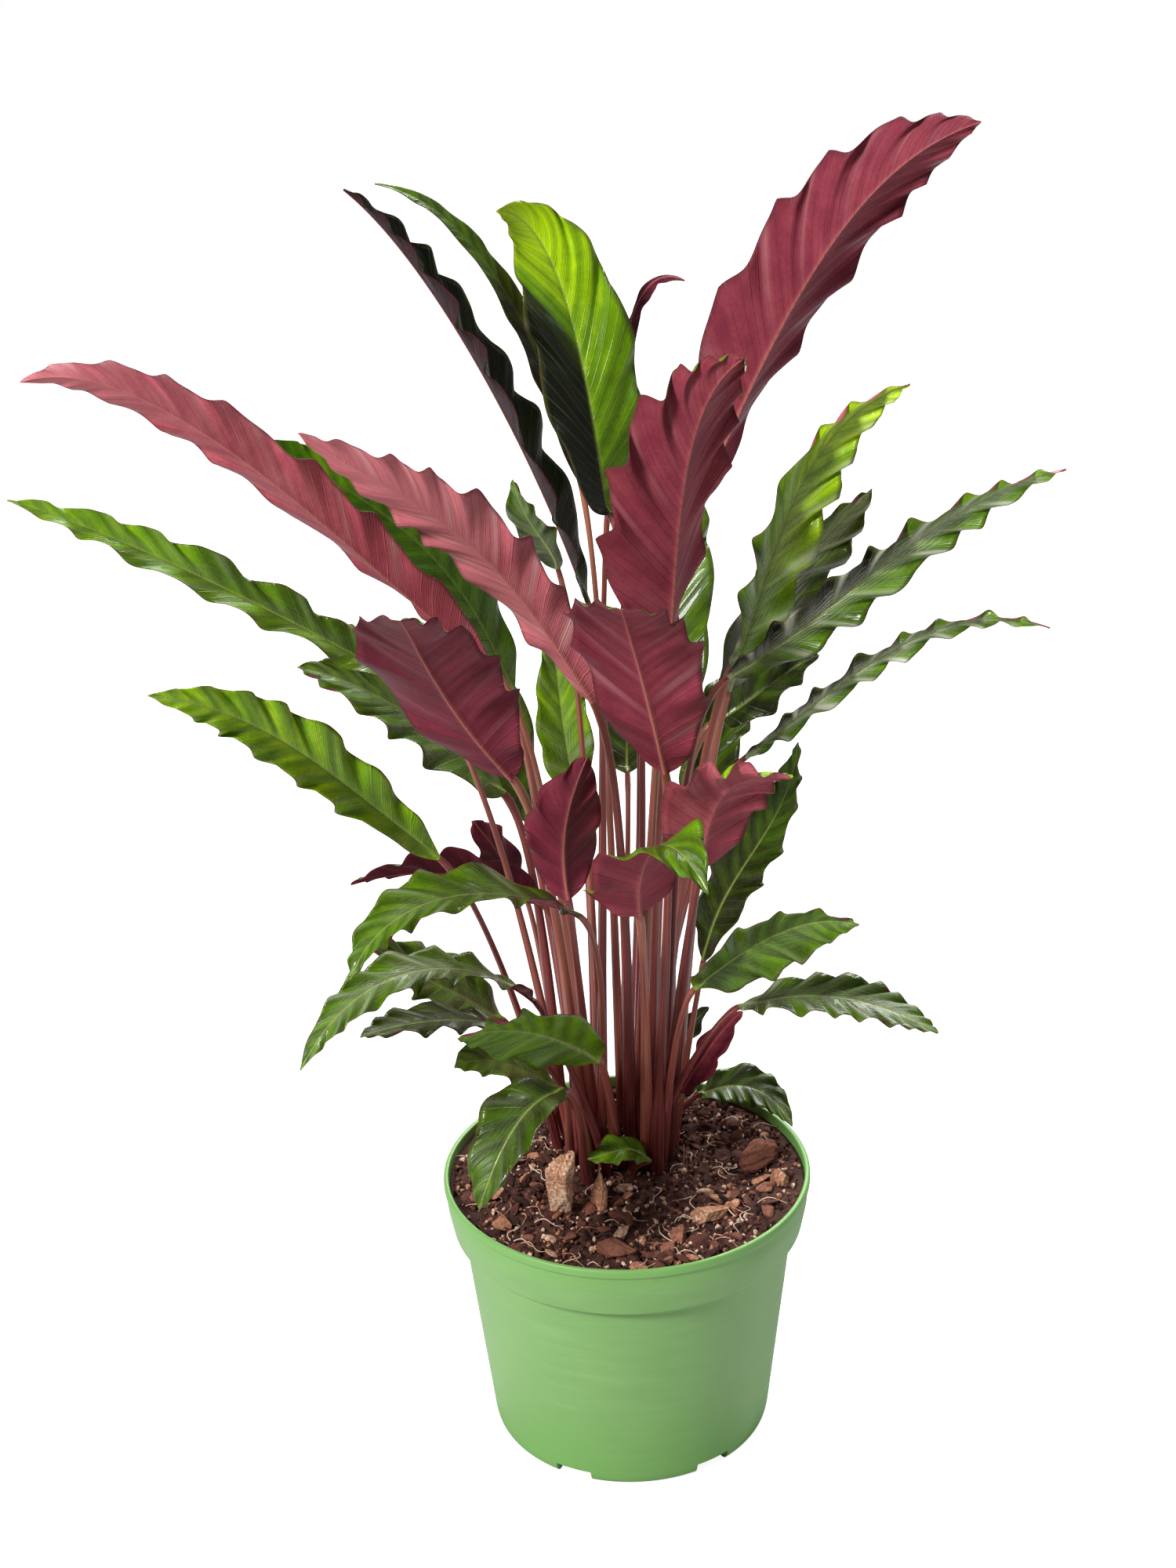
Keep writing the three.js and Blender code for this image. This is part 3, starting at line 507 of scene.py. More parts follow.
def ruffles(leaf, s, v, share, number):
    """Height and phase of the waves, and where their crests are.

    The phase is a turn for each wave, half a turn more on the left edge, plus a slow drift. The
    height is sin(phase + lean cos(phase)) plus the overtone sin(2 phase), times the width, a slow
    swing, and powers of the outline's share and of |v|."""
    reach = np.abs(v)
    edge = number + EDGE_APART * (v > 0)
    way = s * leaf["waves"]
    drift = DRIFT["size"] * np.sin(DRIFT["pace"] * way + DRIFT["apart"] * edge)
    phase = 2 * np.pi * (way + 0.5 * (v > 0)) + drift
    swing = 1 + SWING["size"] * np.sin(SWING["pace"] * way + edge)
    size = leaf.get("ruffle", RUFFLE) * leaf["width"] * swing
    size = size * share ** RUFFLE_TAPER * reach ** RUFFLE_FADE
    wave = size * (np.sin(phase + WAVE_LEAN * np.cos(phase)) + OVERTONE * np.sin(2 * phase + edge))
    # The crest mask places the painted highlights on the waves.
    crest = np.clip(np.cos(phase - CREST["place"]), 0, 1) ** CREST["power"] * reach ** CREST["fade"]
    return wave, phase, crest


print("ruffles ready, up to", max(leaf.get("ruffle", RUFFLE) for leaf in LEAVES.values()), "of the width")

# %% The two faces near the midrib
BLADE_THICKNESS = 0.6
EDGE_THICKNESS = 0.3
GROOVE_DEPTH = 0.45
KEEL_DEPTH = 0.75
KEEL_SPREAD = 0.62
KEEL_FALL = 0.8
TIP_WIDTH = 0.35
FLATTEST = 0.003


def keel_width(leaf, s):
    """Half width of the keel in millimetres, from the stalk's radius down to nearly nothing."""
    return (stalk_radii(leaf)["top"] - TIP_WIDTH) * (1 - s) ** KEEL_FALL + TIP_WIDTH


def face_heights(across, reach, keel, base):
    """Distances of the two faces from the middle of the blade, and a mask near the midrib.

    The mask is a bell exp(-(across / spread)^2). The upper face is half a thickness less a groove,
    the lower one half a thickness plus a keel. Where base is 1 both are the circle
    sqrt(keel^2 - across^2) of the stalk."""
    circle = np.sqrt(np.clip(1 - (np.abs(across) / keel) ** 2, FLATTEST, 1)) * keel
    near_rib = np.exp(-(across / (KEEL_SPREAD * keel)) ** 2)
    thin = (BLADE_THICKNESS + (EDGE_THICKNESS - BLADE_THICKNESS) * reach ** 3) / 2
    upper = thin - GROOVE_DEPTH * keel * near_rib
    lower = thin + KEEL_DEPTH * keel * near_rib
    upper = upper + (circle - upper) * base
    lower = lower + (circle - lower) * base
    return upper, lower, near_rib


print("keel of leaf_oval_left at its base:", keel_width(LEAVES["leaf_oval_left"], 0), "mm")

# %% The blade's surface
VEIN_LEAD = 1.5
MOST_LEAD = 0.23
SCALLOP = 0.13
CUSP = 0.64
RIPPLE = dict(height=0.24, pitch=7.0, fade=0.6)
DRAWN_IN = 1.5
FOLD_START = 0.06
BASE_LENGTH = 0.07


def blade_grid(leaf, s, u, number):
    """Points of the blade's two faces on a grid: s along from 0 to 1, u across from -1 to 1.

    Across, v is the sign of u times |u|^1.5, which draws the columns together at the midrib. The
    point is the rib's point at t = s + lead |v| 4s(1 - s), plus the half width times v along left,
    plus fold, ruffle and ripple along up. The half width swings with |cos(phase / 2)|, which has a
    cusp in every wave. Near the base, the section turns into the circle of the stalk."""
    v = np.sign(u) * np.abs(u) ** DRAWN_IN
    s, v = np.meshgrid(s, v, indexing="ij")
    u = np.broadcast_to(u, s.shape)
    reach = np.abs(v)
    cubic = curve_through(leaf["rib"])
    length = rib_length(cubic)
    lead = min(VEIN_LEAD * leaf["width"] / 2 / length, MOST_LEAD)
    t = s + lead * reach * 4 * s * (1 - s)
    point, slope = along_rib(cubic, t)
    left, up = section_frames(slope, level_side(leaf["rib"]), leaf["roll"] + leaf["twist"] * t)
    share = outline(t, leaf.get("belly", BELLY))
    keel = keel_width(leaf, s)
    half = np.hypot(leaf["width"] / 2 * share, keel)
    wave, phase, crest = ruffles(leaf, s, v, share, number)
    ripple = RIPPLE["height"] * np.sin(2 * np.pi * s * length / RIPPLE["pitch"] + number)
    ripple = ripple * share * reach ** RIPPLE["fade"] * (1 - reach ** 4)
    scallop = leaf.get("scallop", SCALLOP) * reach * (np.abs(np.cos(phase / 2)) - CUSP)
    across = half * v * (1 + scallop)
    fold = np.radians(leaf["fold"]) * smooth(s / FOLD_START)
    base = 1 - smooth(s / BASE_LENGTH)
    across = across + (half * np.sin(np.pi / 2 * u) - across) * base
    rise = np.abs(across) * np.sin(fold) + (wave + ripple) * (1 - base)
    upper, lower, near_rib = face_heights(across, reach, keel, base)
    flat = point + left * (across * np.cos(fold))[..., None]
    top = flat + up * (rise + upper)[..., None]
    under = flat + up * (rise - lower)[..., None]
    return top, under, near_rib, crest


sample = blade_grid(LEAVES["leaf_tall_right"], np.linspace(0, 1, 5), np.linspace(-1, 1, 3), 0)[0]
print("a blade's tip, in mm:", sample[-1, 1].round(1))

# %% [markdown]
# ## The stalk
# The stalk stands straight in the mix for a little way and then rises in one smooth curve, which
# arrives at the blade in the midrib's own direction. That is a Hermite curve: two ends and the two
# directions there. It is thickest in its sheath at the foot, and has a slightly swollen joint just
# under the blade, where the real plant folds its leaves up at night.

# %% The stalk's surface
SOIL_TOP = 127.0
FOOT_DEPTH = 14.0
FOOT_STRAIGHT = 6.0
STALK_LEAN = 0.6
LEAVING = 0.6
ARRIVING = 0.45
JOINT = dict(swell=0.16, place=0.93, length=0.05)
SHEATH_HEIGHT = 0.75


def stalk_grid(leaf, steps, u):
    """Points of the stalk's two halves on a grid, from its buried end to the blade.

    The centre line is (2s^3 - 3s^2 + 1) start + (s^3 - 2s^2 + s) leaving + (3s^2 - 2s^3) end
    + (s^3 - s^2) arriving, and its slope the same sum with each factor's own slope. The section is a
    circle whose radius falls from foot to top, with a bell-shaped swelling for the joint."""
    cubic = curve_through(leaf["rib"])
    end, slope = (row[0] for row in along_rib(cubic, np.zeros(1)))
    foot = np.array([*leaf["foot"], SOIL_TOP])
    forward = unit((end - foot) * [STALK_LEAN, STALK_LEAN, 1])
    start = foot + forward * FOOT_STRAIGHT
    span = np.linalg.norm(end - start)
    leaving, arriving = forward * LEAVING * span, unit(slope) * ARRIVING * span
    s = np.linspace(0, 1, steps, endpoint=False)[:, None]
    curve = ((2 * s ** 3 - 3 * s ** 2 + 1) * start + (s ** 3 - 2 * s ** 2 + s) * leaving
             + (3 * s ** 2 - 2 * s ** 3) * end + (s ** 3 - s ** 2) * arriving)
    way = ((6 * s ** 2 - 6 * s) * start + (3 * s ** 2 - 4 * s + 1) * leaving
           + (6 * s - 6 * s ** 2) * end + (3 * s ** 2 - 2 * s) * arriving)
    centre = np.concatenate([[foot - forward * FOOT_DEPTH, foot], curve])
    way = np.concatenate([[forward, forward], way])
    s = np.concatenate([[0, 0], s[:, 0]])
    radii = stalk_radii(leaf)
    radius = radii["foot"] + (radii["top"] - radii["foot"]) * smooth(s / SHEATH_HEIGHT)
    radius = radius * (1 + JOINT["swell"] * np.exp(-((s - JOINT["place"]) / JOINT["length"]) ** 2))
    left, up = section_frames(way, level_side(leaf["rib"]), leaf["roll"] * smooth(s))
    across = (radius[:, None] * np.sin(np.pi / 2 * u))[..., None]
    lift = (radius[:, None] * np.cos(np.pi / 2 * u))[..., None]
    flat = centre[:, None] + left[:, None] * across
    return flat + up[:, None] * lift, flat - up[:, None] * lift, s


stalk_top = stalk_grid(LEAVES["leaf_tall_right"], 10, np.linspace(-1, 1, 3))[0]
print("a stalk from", stalk_top[0, 1].round(1), "to", stalk_top[-1, 1].round(1), "mm")

# %% [markdown]
# ## One mesh for each leaf
# Stalk and blade are one piece in the plant, so they are one closed mesh: each row of the grid runs
# over the upper face and back along the lower one. The points carry what the materials need: where
# they lie across and along, how near the midrib they are, how light this part of the leaf is, and how
# far the pale streaks and crests show. Three materials share the mesh: the upper face, the underside
# and the stalk.

# %% Lightness of a leaf
SIDE_FADE = (0.36, 0.6)
SIDE_BLEND = 0.2
STALK_TONES = 0.9
TONE_STEP = 2.4


def leaf_shade(leaf, s, stalk_rows, across, number):
    """Lightness of each point: a tone of its own for each stalk, then a straight change from the
    blade's base to its tip, which holds painted light and shade as well as the leaf's own tone, plus
    the painted shade or light that each half adds to its lower part. Stalk tones come from a sine of
    the leaf's number, so neighbours differ."""
    dark, light = leaf["shade"]
    stalk_tone = STALK_TONES * math.sin(TONE_STEP * number)
    shade = np.concatenate([np.full(stalk_rows, stalk_tone), dark + (light - dark) * s])[:, None]
    # Painted shade on the lower part of a half that lies in a neighbour's shadow, and painted light on one
    # that catches more light.
    left_side, right_side = leaf.get("sides", (0, 0))
    tipward = np.concatenate([np.ones(stalk_rows), s])[:, None]
    low_part = 1 - smooth((tipward - SIDE_FADE[0]) / (SIDE_FADE[1] - SIDE_FADE[0]))
    halves = np.where(across < 0, right_side, left_side) * smooth(np.abs(across) / SIDE_BLEND)
    return shade + low_part * halves


print("lightness ready, stalks within", STALK_TONES, "of the middle tone")

# %% One closed grid
LONG_LEAF = 110.0
FINE = dict(columns=25, blade=150, stalk=34)
PLAIN = dict(columns=17, blade=84, stalk=26)
ROWS_TO_BASE = 1.15
UPPER, UNDER, STALK = 0, 1, 2
MM_PER_CM = 10


def round_trip(values, stalk_rows, stalk_value):
    """A value of the blade's grid on both faces, with one constant on the rows of the stalk."""
    both = np.concatenate([values, values[:, ::-1]], axis=1)
    return np.concatenate([np.full((stalk_rows, both.shape[1]), stalk_value), both])


def with_hubs(values):
    """Values of a closed grid, followed by those of its two hubs."""
    return np.concatenate([values.ravel(), [values[0, 0], values[-1, 0]]])


def material_numbers(rows, columns, stalk_rows):
    """Which of the three materials each face has, in the order of tube_faces."""
    column = np.arange(columns)[None, :].repeat(rows - 1, axis=0)
    kind = np.where(column < columns // 2 - 1, UPPER, UNDER)
    kind[:stalk_rows] = STALK
    return np.concatenate([kind.ravel(), np.repeat([STALK, UNDER], columns)]).astype(np.int32)


print("leaves longer than", LONG_LEAF, "mm:", sum(length > LONG_LEAF for length in rib_lengths))

# %% Leaf meshes
def leaf_mesh(name, leaf, number):
    """The closed mesh of one leaf, in metres, with its values and material numbers. The map named
    leaf goes across from 0 to 1 and along the blade in centimetres."""
    length = rib_length(curve_through(leaf["rib"]))
    detail = FINE if length > LONG_LEAF else PLAIN
    u = np.linspace(-1, 1, detail["columns"])
    s = np.linspace(0, 1, detail["blade"]) ** ROWS_TO_BASE
    top, under, near_rib, crest = blade_grid(leaf, s, u, number)
    stalk_top, stalk_under, along = stalk_grid(leaf, detail["stalk"], u)
    upper = np.concatenate([stalk_top, top])
    lower = np.concatenate([stalk_under, under])[:, ::-1]
    grid = np.concatenate([upper, lower], axis=1)
    rows, columns = grid.shape[:2]
    hubs = np.stack([grid[0].mean(axis=0), grid[-1].mean(axis=0)])
    quads, fans = tube_faces(rows, columns)
    mesh = mesh_from(name, np.concatenate([grid.reshape(-1, 3), hubs]) * MM, quads, fans)
    stalk_rows = len(along)
    across = np.concatenate([u, u[::-1]])[None, :].repeat(rows, axis=0)
    far = np.concatenate([along, s * length / MM_PER_CM])[:, None].repeat(columns, axis=1)
    add_uv(mesh, "leaf", with_hubs(across * 0.5 + 0.5), with_hubs(far))
    add_values(mesh, "near_rib", with_hubs(round_trip(near_rib, stalk_rows, 1.0)))
    # The shade paints light and shade over each leaf's own tone, and pale and crest place its painted
    # highlights.
    add_values(mesh, "shade", with_hubs(leaf_shade(leaf, s, stalk_rows, across, number)))
    add_values(mesh, "pale", with_hubs(np.full((rows, columns), leaf.get("pale", 0.0))))
    add_values(mesh, "crest", with_hubs(round_trip(crest, stalk_rows, 0.0)))
    mesh.polygons.foreach_set("material_index", material_numbers(rows, columns, stalk_rows))
    return mesh


leaf_meshes = {name: leaf_mesh("fine_" + name, leaf, number)
               for number, (name, leaf) in enumerate(LEAVES.items())}
print("leaf faces:", sum(len(mesh.polygons) for mesh in leaf_meshes.values()))

# %% [markdown]
# ## Helpers for materials
# A material in Blender is a small tree of nodes. A few short functions keep such a tree readable: each
# makes one node, sets its values or links, and hands back the socket that the next one needs.

# %% Node helpers
def fill(tree, made, values):
    """Gives input sockets of a node, by number or name, a plain value or another node's output."""
    for key, value in dict(values).items():
        if isinstance(value, bpy.types.NodeSocket):
            tree.links.new(value, made.inputs[key])
        else:
            made.inputs[key].default_value = value


def node(tree, kind, values=(), **settings):
    """One shader node with its settings and input values."""
    made = tree.nodes.new("ShaderNode" + kind)
    for name, setting in settings.items():
        setattr(made, name, setting)
    fill(tree, made, values)
    return made


def maths(tree, operation, *values):
    """The result of one sum. MULTIPLY_ADD is first times second plus third."""
    return node(tree, "Math", dict(enumerate(values)), operation=operation).outputs[0]


def mixed(tree, factor, first, second):
    """A colour between the first, a socket, and the second, a plain colour."""
    values = {0: factor, 6: first, 7: (*second, 1)}
    return node(tree, "Mix", values, data_type="RGBA").outputs[2]


def ramp(tree, value, stops):
    """A colour looked up along stops of (place, (red, green, blue))."""
    made = node(tree, "ValToRGB", {0: value})
    elements = made.color_ramp.elements
    while len(elements) < len(stops):
        elements.new(0.5)
    for element, (place, colour) in zip(elements, stops):
        element.position = place
        element.color = (*colour, 1.0)
    return made.outputs[0]


print("node helpers ready")

# %% Patterns and places
def spread(tree, value, low, high, to_low=0.0, to_high=1.0):
    """Maps low..high evenly to to_low..to_high, held at both ends."""
    values = {0: value, 1: low, 2: high, 3: to_low, 4: to_high}
    return node(tree, "MapRange", values, clamp=True).outputs[0]


def noise(tree, place, scale, detail=3.0, roughness=0.5):
    """Smooth noise between 0 and 1: scale bumps to a unit of place, broken up detail times."""
    values = {"Vector": place, "Scale": scale, "Detail": detail, "Roughness": roughness}
    return node(tree, "TexNoise", values).outputs[0]


def stretched(tree, place, scale):
    """The place with each axis multiplied, so that a pattern on it is squeezed or drawn out."""
    return node(tree, "Mapping", {"Vector": place, "Scale": scale}).outputs[0]


def object_place(tree):
    """Where a point lies on the plant, in metres."""
    return node(tree, "TexCoord").outputs["Object"]


def value_of(tree, attribute):
    """A number that the mesh carries for each of its points."""
    return node(tree, "Attribute", attribute_name=attribute).outputs["Fac"]


print("patterns and places ready")

# %% Materials and groups
def new_material(name, finish):
    """A material whose shader has these constant values, with its tree and shader."""
    made = bpy.data.materials.new(name)
    made.use_nodes = True
    shader = made.node_tree.nodes["Principled BSDF"]
    for socket, value in finish.items():
        shader.inputs[socket].default_value = value
    return made, made.node_tree, shader


def new_group(name, inputs, outputs):
    """A node group with named inputs (kind, value) and outputs (kind), and its two end nodes."""
    group = bpy.data.node_groups.new(name, "ShaderNodeTree")
    for label, (kind, value) in inputs.items():
        socket = group.interface.new_socket(label, in_out="INPUT", socket_type="NodeSocket" + kind)
        socket.default_value = value
    for label, kind in outputs.items():
        group.interface.new_socket(label, in_out="OUTPUT", socket_type="NodeSocket" + kind)
    return group, group.nodes.new("NodeGroupInput").outputs, group.nodes.new("NodeGroupOutput").inputs


def use_group(tree, group, values):
    """Outputs of a group placed in the tree with values of its own."""
    made = tree.nodes.new("ShaderNodeGroup")
    made.node_tree = group
    fill(tree, made, values)
    return made.outputs


def put_out(group, ends, sockets):
    """Joins each named result to the end node of a group."""
    for label, made in sockets.items():
        group.links.new(made, ends[label])


def set_bump(tree, shader, height, distance, strength):
    """Lets a height tilt the normals: relief of that many metres."""
    bump = node(tree, "Bump", {"Height": height, "Distance": distance, "Strength": strength})
    tree.links.new(bump.outputs[0], shader.inputs["Normal"])


print("helpers for materials and groups ready")

# %% [markdown]
# ## Effects that several materials share
# Both faces of a leaf show the same side veins, so these are one node group, which reads the leaf's
# own map: across from 0 to 1, along in centimetres. It puts out a thin line for each vein, a broad
# band for each fold between veins, which carries the painted light and shade of the folds, and a
# height. The second group is a fine grain with blotches, which plastic, bark, mix and stalks all have
# at their own scale.

# %% Side veins
WANDER = 0.35
FOLDS_PER_VEIN = 0.4
RIBS_PER_VEIN = 5
RIB_RELIEF = 0.12


def saw_tooth(tree, turn):
    """|fract(turn) - 1/2|, which falls from 1/2 to 0 and rises again in each turn."""
    return maths(tree, "ABSOLUTE", maths(tree, "SUBTRACT", maths(tree, "FRACT", turn), 0.5))


def side_vein_group():
    """Veins at whole multiples of the spacing. The line is |2 fract(along / spacing) - 1| held to its
    top part, the band, which paints light and shade over the folds, a slow sine of the same turn, and
    the height the line plus a quick sine."""
    inputs = {"Place": ("Vector", (0, 0, 0)), "Spacing": ("Float", 0.5), "Sharpness": ("Float", 0.86)}
    outputs = {"Line": "Float", "Band": "Float", "Height": "Float"}
    group, given, put = new_group("side veins", inputs, outputs)
    parts = node(group, "SeparateXYZ", {0: given["Place"]}).outputs
    wander = maths(group, "MULTIPLY", noise(group, given["Place"], scale=1.6, detail=2.0), WANDER)
    along = maths(group, "ADD", parts[1], wander)
    turn = maths(group, "DIVIDE", along, given["Spacing"])
    saw = saw_tooth(group, turn)
    line = spread(group, maths(group, "MULTIPLY", saw, 2.0), given["Sharpness"], 1.0)
    # The band paints light and shade over the folds between the veins.
    band = maths(group, "SINE", maths(group, "MULTIPLY", turn, 2 * math.pi * FOLDS_PER_VEIN))
    fine = maths(group, "SINE", maths(group, "MULTIPLY", turn, 2 * math.pi * RIBS_PER_VEIN))
    band = maths(group, "MULTIPLY_ADD", band, 0.5, 0.5)
    height = maths(group, "MULTIPLY_ADD", fine, RIB_RELIEF, line)
    put_out(group, put, {"Line": line, "Band": band, "Height": height})
    return group


side_veins = side_vein_group()
print("puts out:", [socket.name for socket in side_veins.interface.items_tree if socket.in_out == "OUTPUT"])

# %% Grain
BLOTCH_SCALE = 0.1
BLOTCH_RELIEF = 0.6


def grain_group():
    """A fine speckle, soft blotches ten times as wide, and their sum as a height."""
    inputs = {"Place": ("Vector", (0, 0, 0)), "Size": ("Float", 0.002)}
    outputs = {"Speckle": "Float", "Blotch": "Float", "Height": "Float"}
    group, given, put = new_group("grain", inputs, outputs)
    scale = maths(group, "DIVIDE", 1.0, given["Size"])
    speckle = noise(group, given["Place"], scale, detail=4.0, roughness=0.6)
    blotch = noise(group, given["Place"], maths(group, "MULTIPLY", scale, BLOTCH_SCALE))
    height = maths(group, "MULTIPLY_ADD", blotch, BLOTCH_RELIEF, speckle)
    put_out(group, put, {"Speckle": speckle, "Blotch": blotch, "Height": height})
    return group


grain = grain_group()
print("shared effects:", [group.name for group in bpy.data.node_groups])

# %% [markdown]
# ## Leaf materials
# The upper face goes from nearly black through leaf green to a bright yellow green, by the shade that
# each leaf carries, which paints light and shade over the leaf's own tone. It has a satin gloss, pale
# side veins and a pale line down its middle. The underside is wine red with a soft, velvety
# reflection, a salmon midrib and folds darkened by painted shade. Both faces carry these bands of
# painted light and shade over the folds between the veins.
#
# Some leaves also carry painted highlights in broken, pale streaks, which stand for light glancing off
# the fine folds between the veins. On the green face they run at a sharp angle beside the midrib, and
# on both faces they lie on the crests of the waves. The mesh carries how strong they are on each leaf.

# %% Colours of the leaves
# From nearly black, painted for leaves in deep shade, to the bright yellow green painted for a leaf with
# light shining through it, with the leaf's own greens between.
GREENS = ((0.0, (0.005, 0.005, 0.003)), (0.28, (0.024, 0.036, 0.003)), (0.5, (0.070, 0.150, 0.003)),
          (0.75, (0.195, 0.400, 0.004)), (1.0, (0.560, 0.860, 0.003)))
# The darkest wines paint deep shade, and the lightest paint the pale glare of an underside in full light.
WINES = ((0.0, (0.020, 0.005, 0.010)), (0.28, (0.085, 0.011, 0.024)), (0.5, (0.200, 0.024, 0.046)),
         (0.75, (0.370, 0.066, 0.092)), (1.0, (0.620, 0.180, 0.210)))
BLOTCHES = dict(scale=45.0, strength=0.4)
SPECKS = dict(scale=700.0, strength=0.14)


def leaf_level(tree, veins, place, fold_shade_strength):
    """Lightness of a leaf from 0 to 1: half its shade plus a half, lifted and lowered by blotches,
    specks and painted light and shade on the folds."""
    blotches = maths(tree, "SUBTRACT", noise(tree, place, BLOTCHES["scale"], roughness=0.6), 0.5)
    specks = maths(tree, "SUBTRACT", noise(tree, place, SPECKS["scale"], detail=2.0), 0.5)
    # Painted light and shade over the folds between the veins.
    folds = maths(tree, "SUBTRACT", veins["Band"], 0.5)
    level = maths(tree, "MULTIPLY_ADD", value_of(tree, "shade"), 0.5, 0.5)
    level = maths(tree, "MULTIPLY_ADD", blotches, BLOTCHES["strength"], level)
    level = maths(tree, "MULTIPLY_ADD", specks, SPECKS["strength"], level)
    return maths(tree, "MULTIPLY_ADD", folds, fold_shade_strength, level)


print("tones of green and of wine:", len(GREENS), len(WINES))

# %% Masks on the blade
SLANT = dict(out=7.0, along=-0.9, wander=0.9)


def reach_of(tree, across):
    """Distance from the midrib as a share of the half width: |2 across - 1|."""
    return maths(tree, "ABSOLUTE", maths(tree, "MULTIPLY_ADD", across, 2.0, -1.0))


def slanted_lines(tree, along, reach, leaf_map):
    """Fine lines of painted highlight that leave the midrib at a very sharp angle on both sides: a saw
    tooth of 7 reach - 0.9 along, sharpened, over a faint even share."""
    wander = maths(tree, "MULTIPLY", noise(tree, leaf_map, scale=2.4, detail=2.0), SLANT["wander"])
    start = maths(tree, "MULTIPLY_ADD", along, SLANT["along"], wander)
    turn = maths(tree, "MULTIPLY_ADD", reach, SLANT["out"], start)
    return spread(tree, saw_tooth(tree, turn), low=0.22, high=0.46, to_low=0.18, to_high=1.0)


def painted_highlights_on(tree, leaf_map, reach, along, inside):
    """Where the painted highlights lie, as pale streaks: on the crests of the waves and, by the share
    inside, on slanted lines over the inner part of the blade."""
    inner = spread(tree, reach, low=0.1, high=0.8, to_low=1.0, to_high=0.0)
    broken_line = maths(tree, "MULTIPLY", inner, slanted_lines(tree, along, reach, leaf_map))
    broken_line = maths(tree, "MULTIPLY", broken_line, inside)
    streaks = maths(tree, "MAXIMUM", broken_line, value_of(tree, "crest"))
    return maths(tree, "MULTIPLY", streaks, value_of(tree, "pale"))


print("slant of the streaks:", SLANT)

# %% One face of a blade
VEIN_SPACING = 0.46
VEIN_RELIEF = dict(distance=0.0005, strength=0.6)
EDGE_START = 0.93
EDGE_STRENGTH = 0.6
RIB_STRENGTH = 0.85
GLOSS_SPAN = (-0.06, 0.1)


def blade_material(name, finish, stops, colours, highlights_inside, fold_shade_strength, vein_strength):
    """The material of one face of the blade. Over the tone of the leaf, with its painted light and shade,
    lie one after another the side veins, the pale streaks of painted highlight, the midrib and the rim.
    An uneven mask breaks up veins and highlights."""
    made, tree, shader = new_material(name, finish)
    leaf_map = node(tree, "UVMap", uv_map="leaf").outputs[0]
    across, along = node(tree, "SeparateXYZ", {0: leaf_map}).outputs[:2]
    reach = reach_of(tree, across)
    place = object_place(tree)
    veins = use_group(tree, side_veins, {"Place": leaf_map, "Spacing": VEIN_SPACING})
    colour = ramp(tree, leaf_level(tree, veins, place, fold_shade_strength), stops)
    uneven = noise(tree, place, scale=38.0, detail=2.0)
    uneven = spread(tree, uneven, low=0.35, high=0.65, to_low=0.25, to_high=1.0)
    lines = maths(tree, "MULTIPLY", maths(tree, "MULTIPLY", veins["Line"], vein_strength), uneven)
    colour = mixed(tree, lines, colour, colours["vein"])
    # Pale streaks of painted highlight, where light would glance off folds and crests.
    streaks = painted_highlights_on(tree, leaf_map, reach, along, highlights_inside)
    colour = mixed(tree, maths(tree, "MULTIPLY", streaks, uneven), colour, colours["painted_highlight"])
    rib = maths(tree, "POWER", value_of(tree, "near_rib"), 2.0)
    colour = mixed(tree, maths(tree, "MULTIPLY", rib, RIB_STRENGTH), colour, colours["rib"])
    rim = maths(tree, "MULTIPLY", spread(tree, reach, EDGE_START, 1.0), EDGE_STRENGTH)
    colour = mixed(tree, rim, colour, colours["rim"])
    tree.links.new(colour, shader.inputs["Base Color"])
    rough_span = [finish["Roughness"] + step for step in GLOSS_SPAN]
    gloss = spread(tree, noise(tree, place, scale=90.0), 0.3, 0.7, *rough_span)
    tree.links.new(gloss, shader.inputs["Roughness"])
    set_bump(tree, shader, veins["Height"], **VEIN_RELIEF)
    return made


upper_face = blade_material(
    "leaf upper face",
    {"Roughness": 0.27, "Specular IOR Level": 0.3, "Coat Weight": 0.22, "Coat Roughness": 0.06},
    GREENS,
    # The pale colour of the streaks paints highlights on the green face.
    dict(vein=(0.24, 0.37, 0.05), painted_highlight=(0.62, 0.66, 0.50),
         rib=(0.36, 0.46, 0.10), rim=(0.10, 0.10, 0.02)),
    highlights_inside=1.0, fold_shade_strength=0.13, vein_strength=0.34)
underside = blade_material(
    "leaf underside",
    {"Roughness": 0.45, "Specular IOR Level": 0.17},
    WINES,
    # The pale pink of the streaks paints the glare of light on the underside.
    dict(vein=(0.40, 0.085, 0.105), painted_highlight=(0.80, 0.42, 0.42),
         rib=(0.60, 0.20, 0.16), rim=(0.09, 0.02, 0.02)),
    highlights_inside=0.0, fold_shade_strength=0.06, vein_strength=0.16)
print("faces:", upper_face.name, "and", underside.name)

# %% [markdown]
# ### Colour of the stalks
# A stalk is red-brown and streaked along its length, and turns a little lighter towards the blade. No
# two have the same tone, which keeps the crowded clump from looking like one block. It is smoother than
# the blade, with a thin gloss on top, so that each stalk carries a narrow bright line.

# %% Stalk material
STALK_REDS = ((0.2, (0.050, 0.009, 0.010)), (0.45, (0.190, 0.032, 0.034)),
              (0.72, (0.310, 0.072, 0.056)), (1.0, (0.440, 0.180, 0.110)))
STALK_STREAKS = dict(squeeze=(9.0, 1.2, 1.0), contrast=1.4, offset=-0.18)
TOWARDS_BLADE = 0.24
TONE_STRENGTH = 0.2


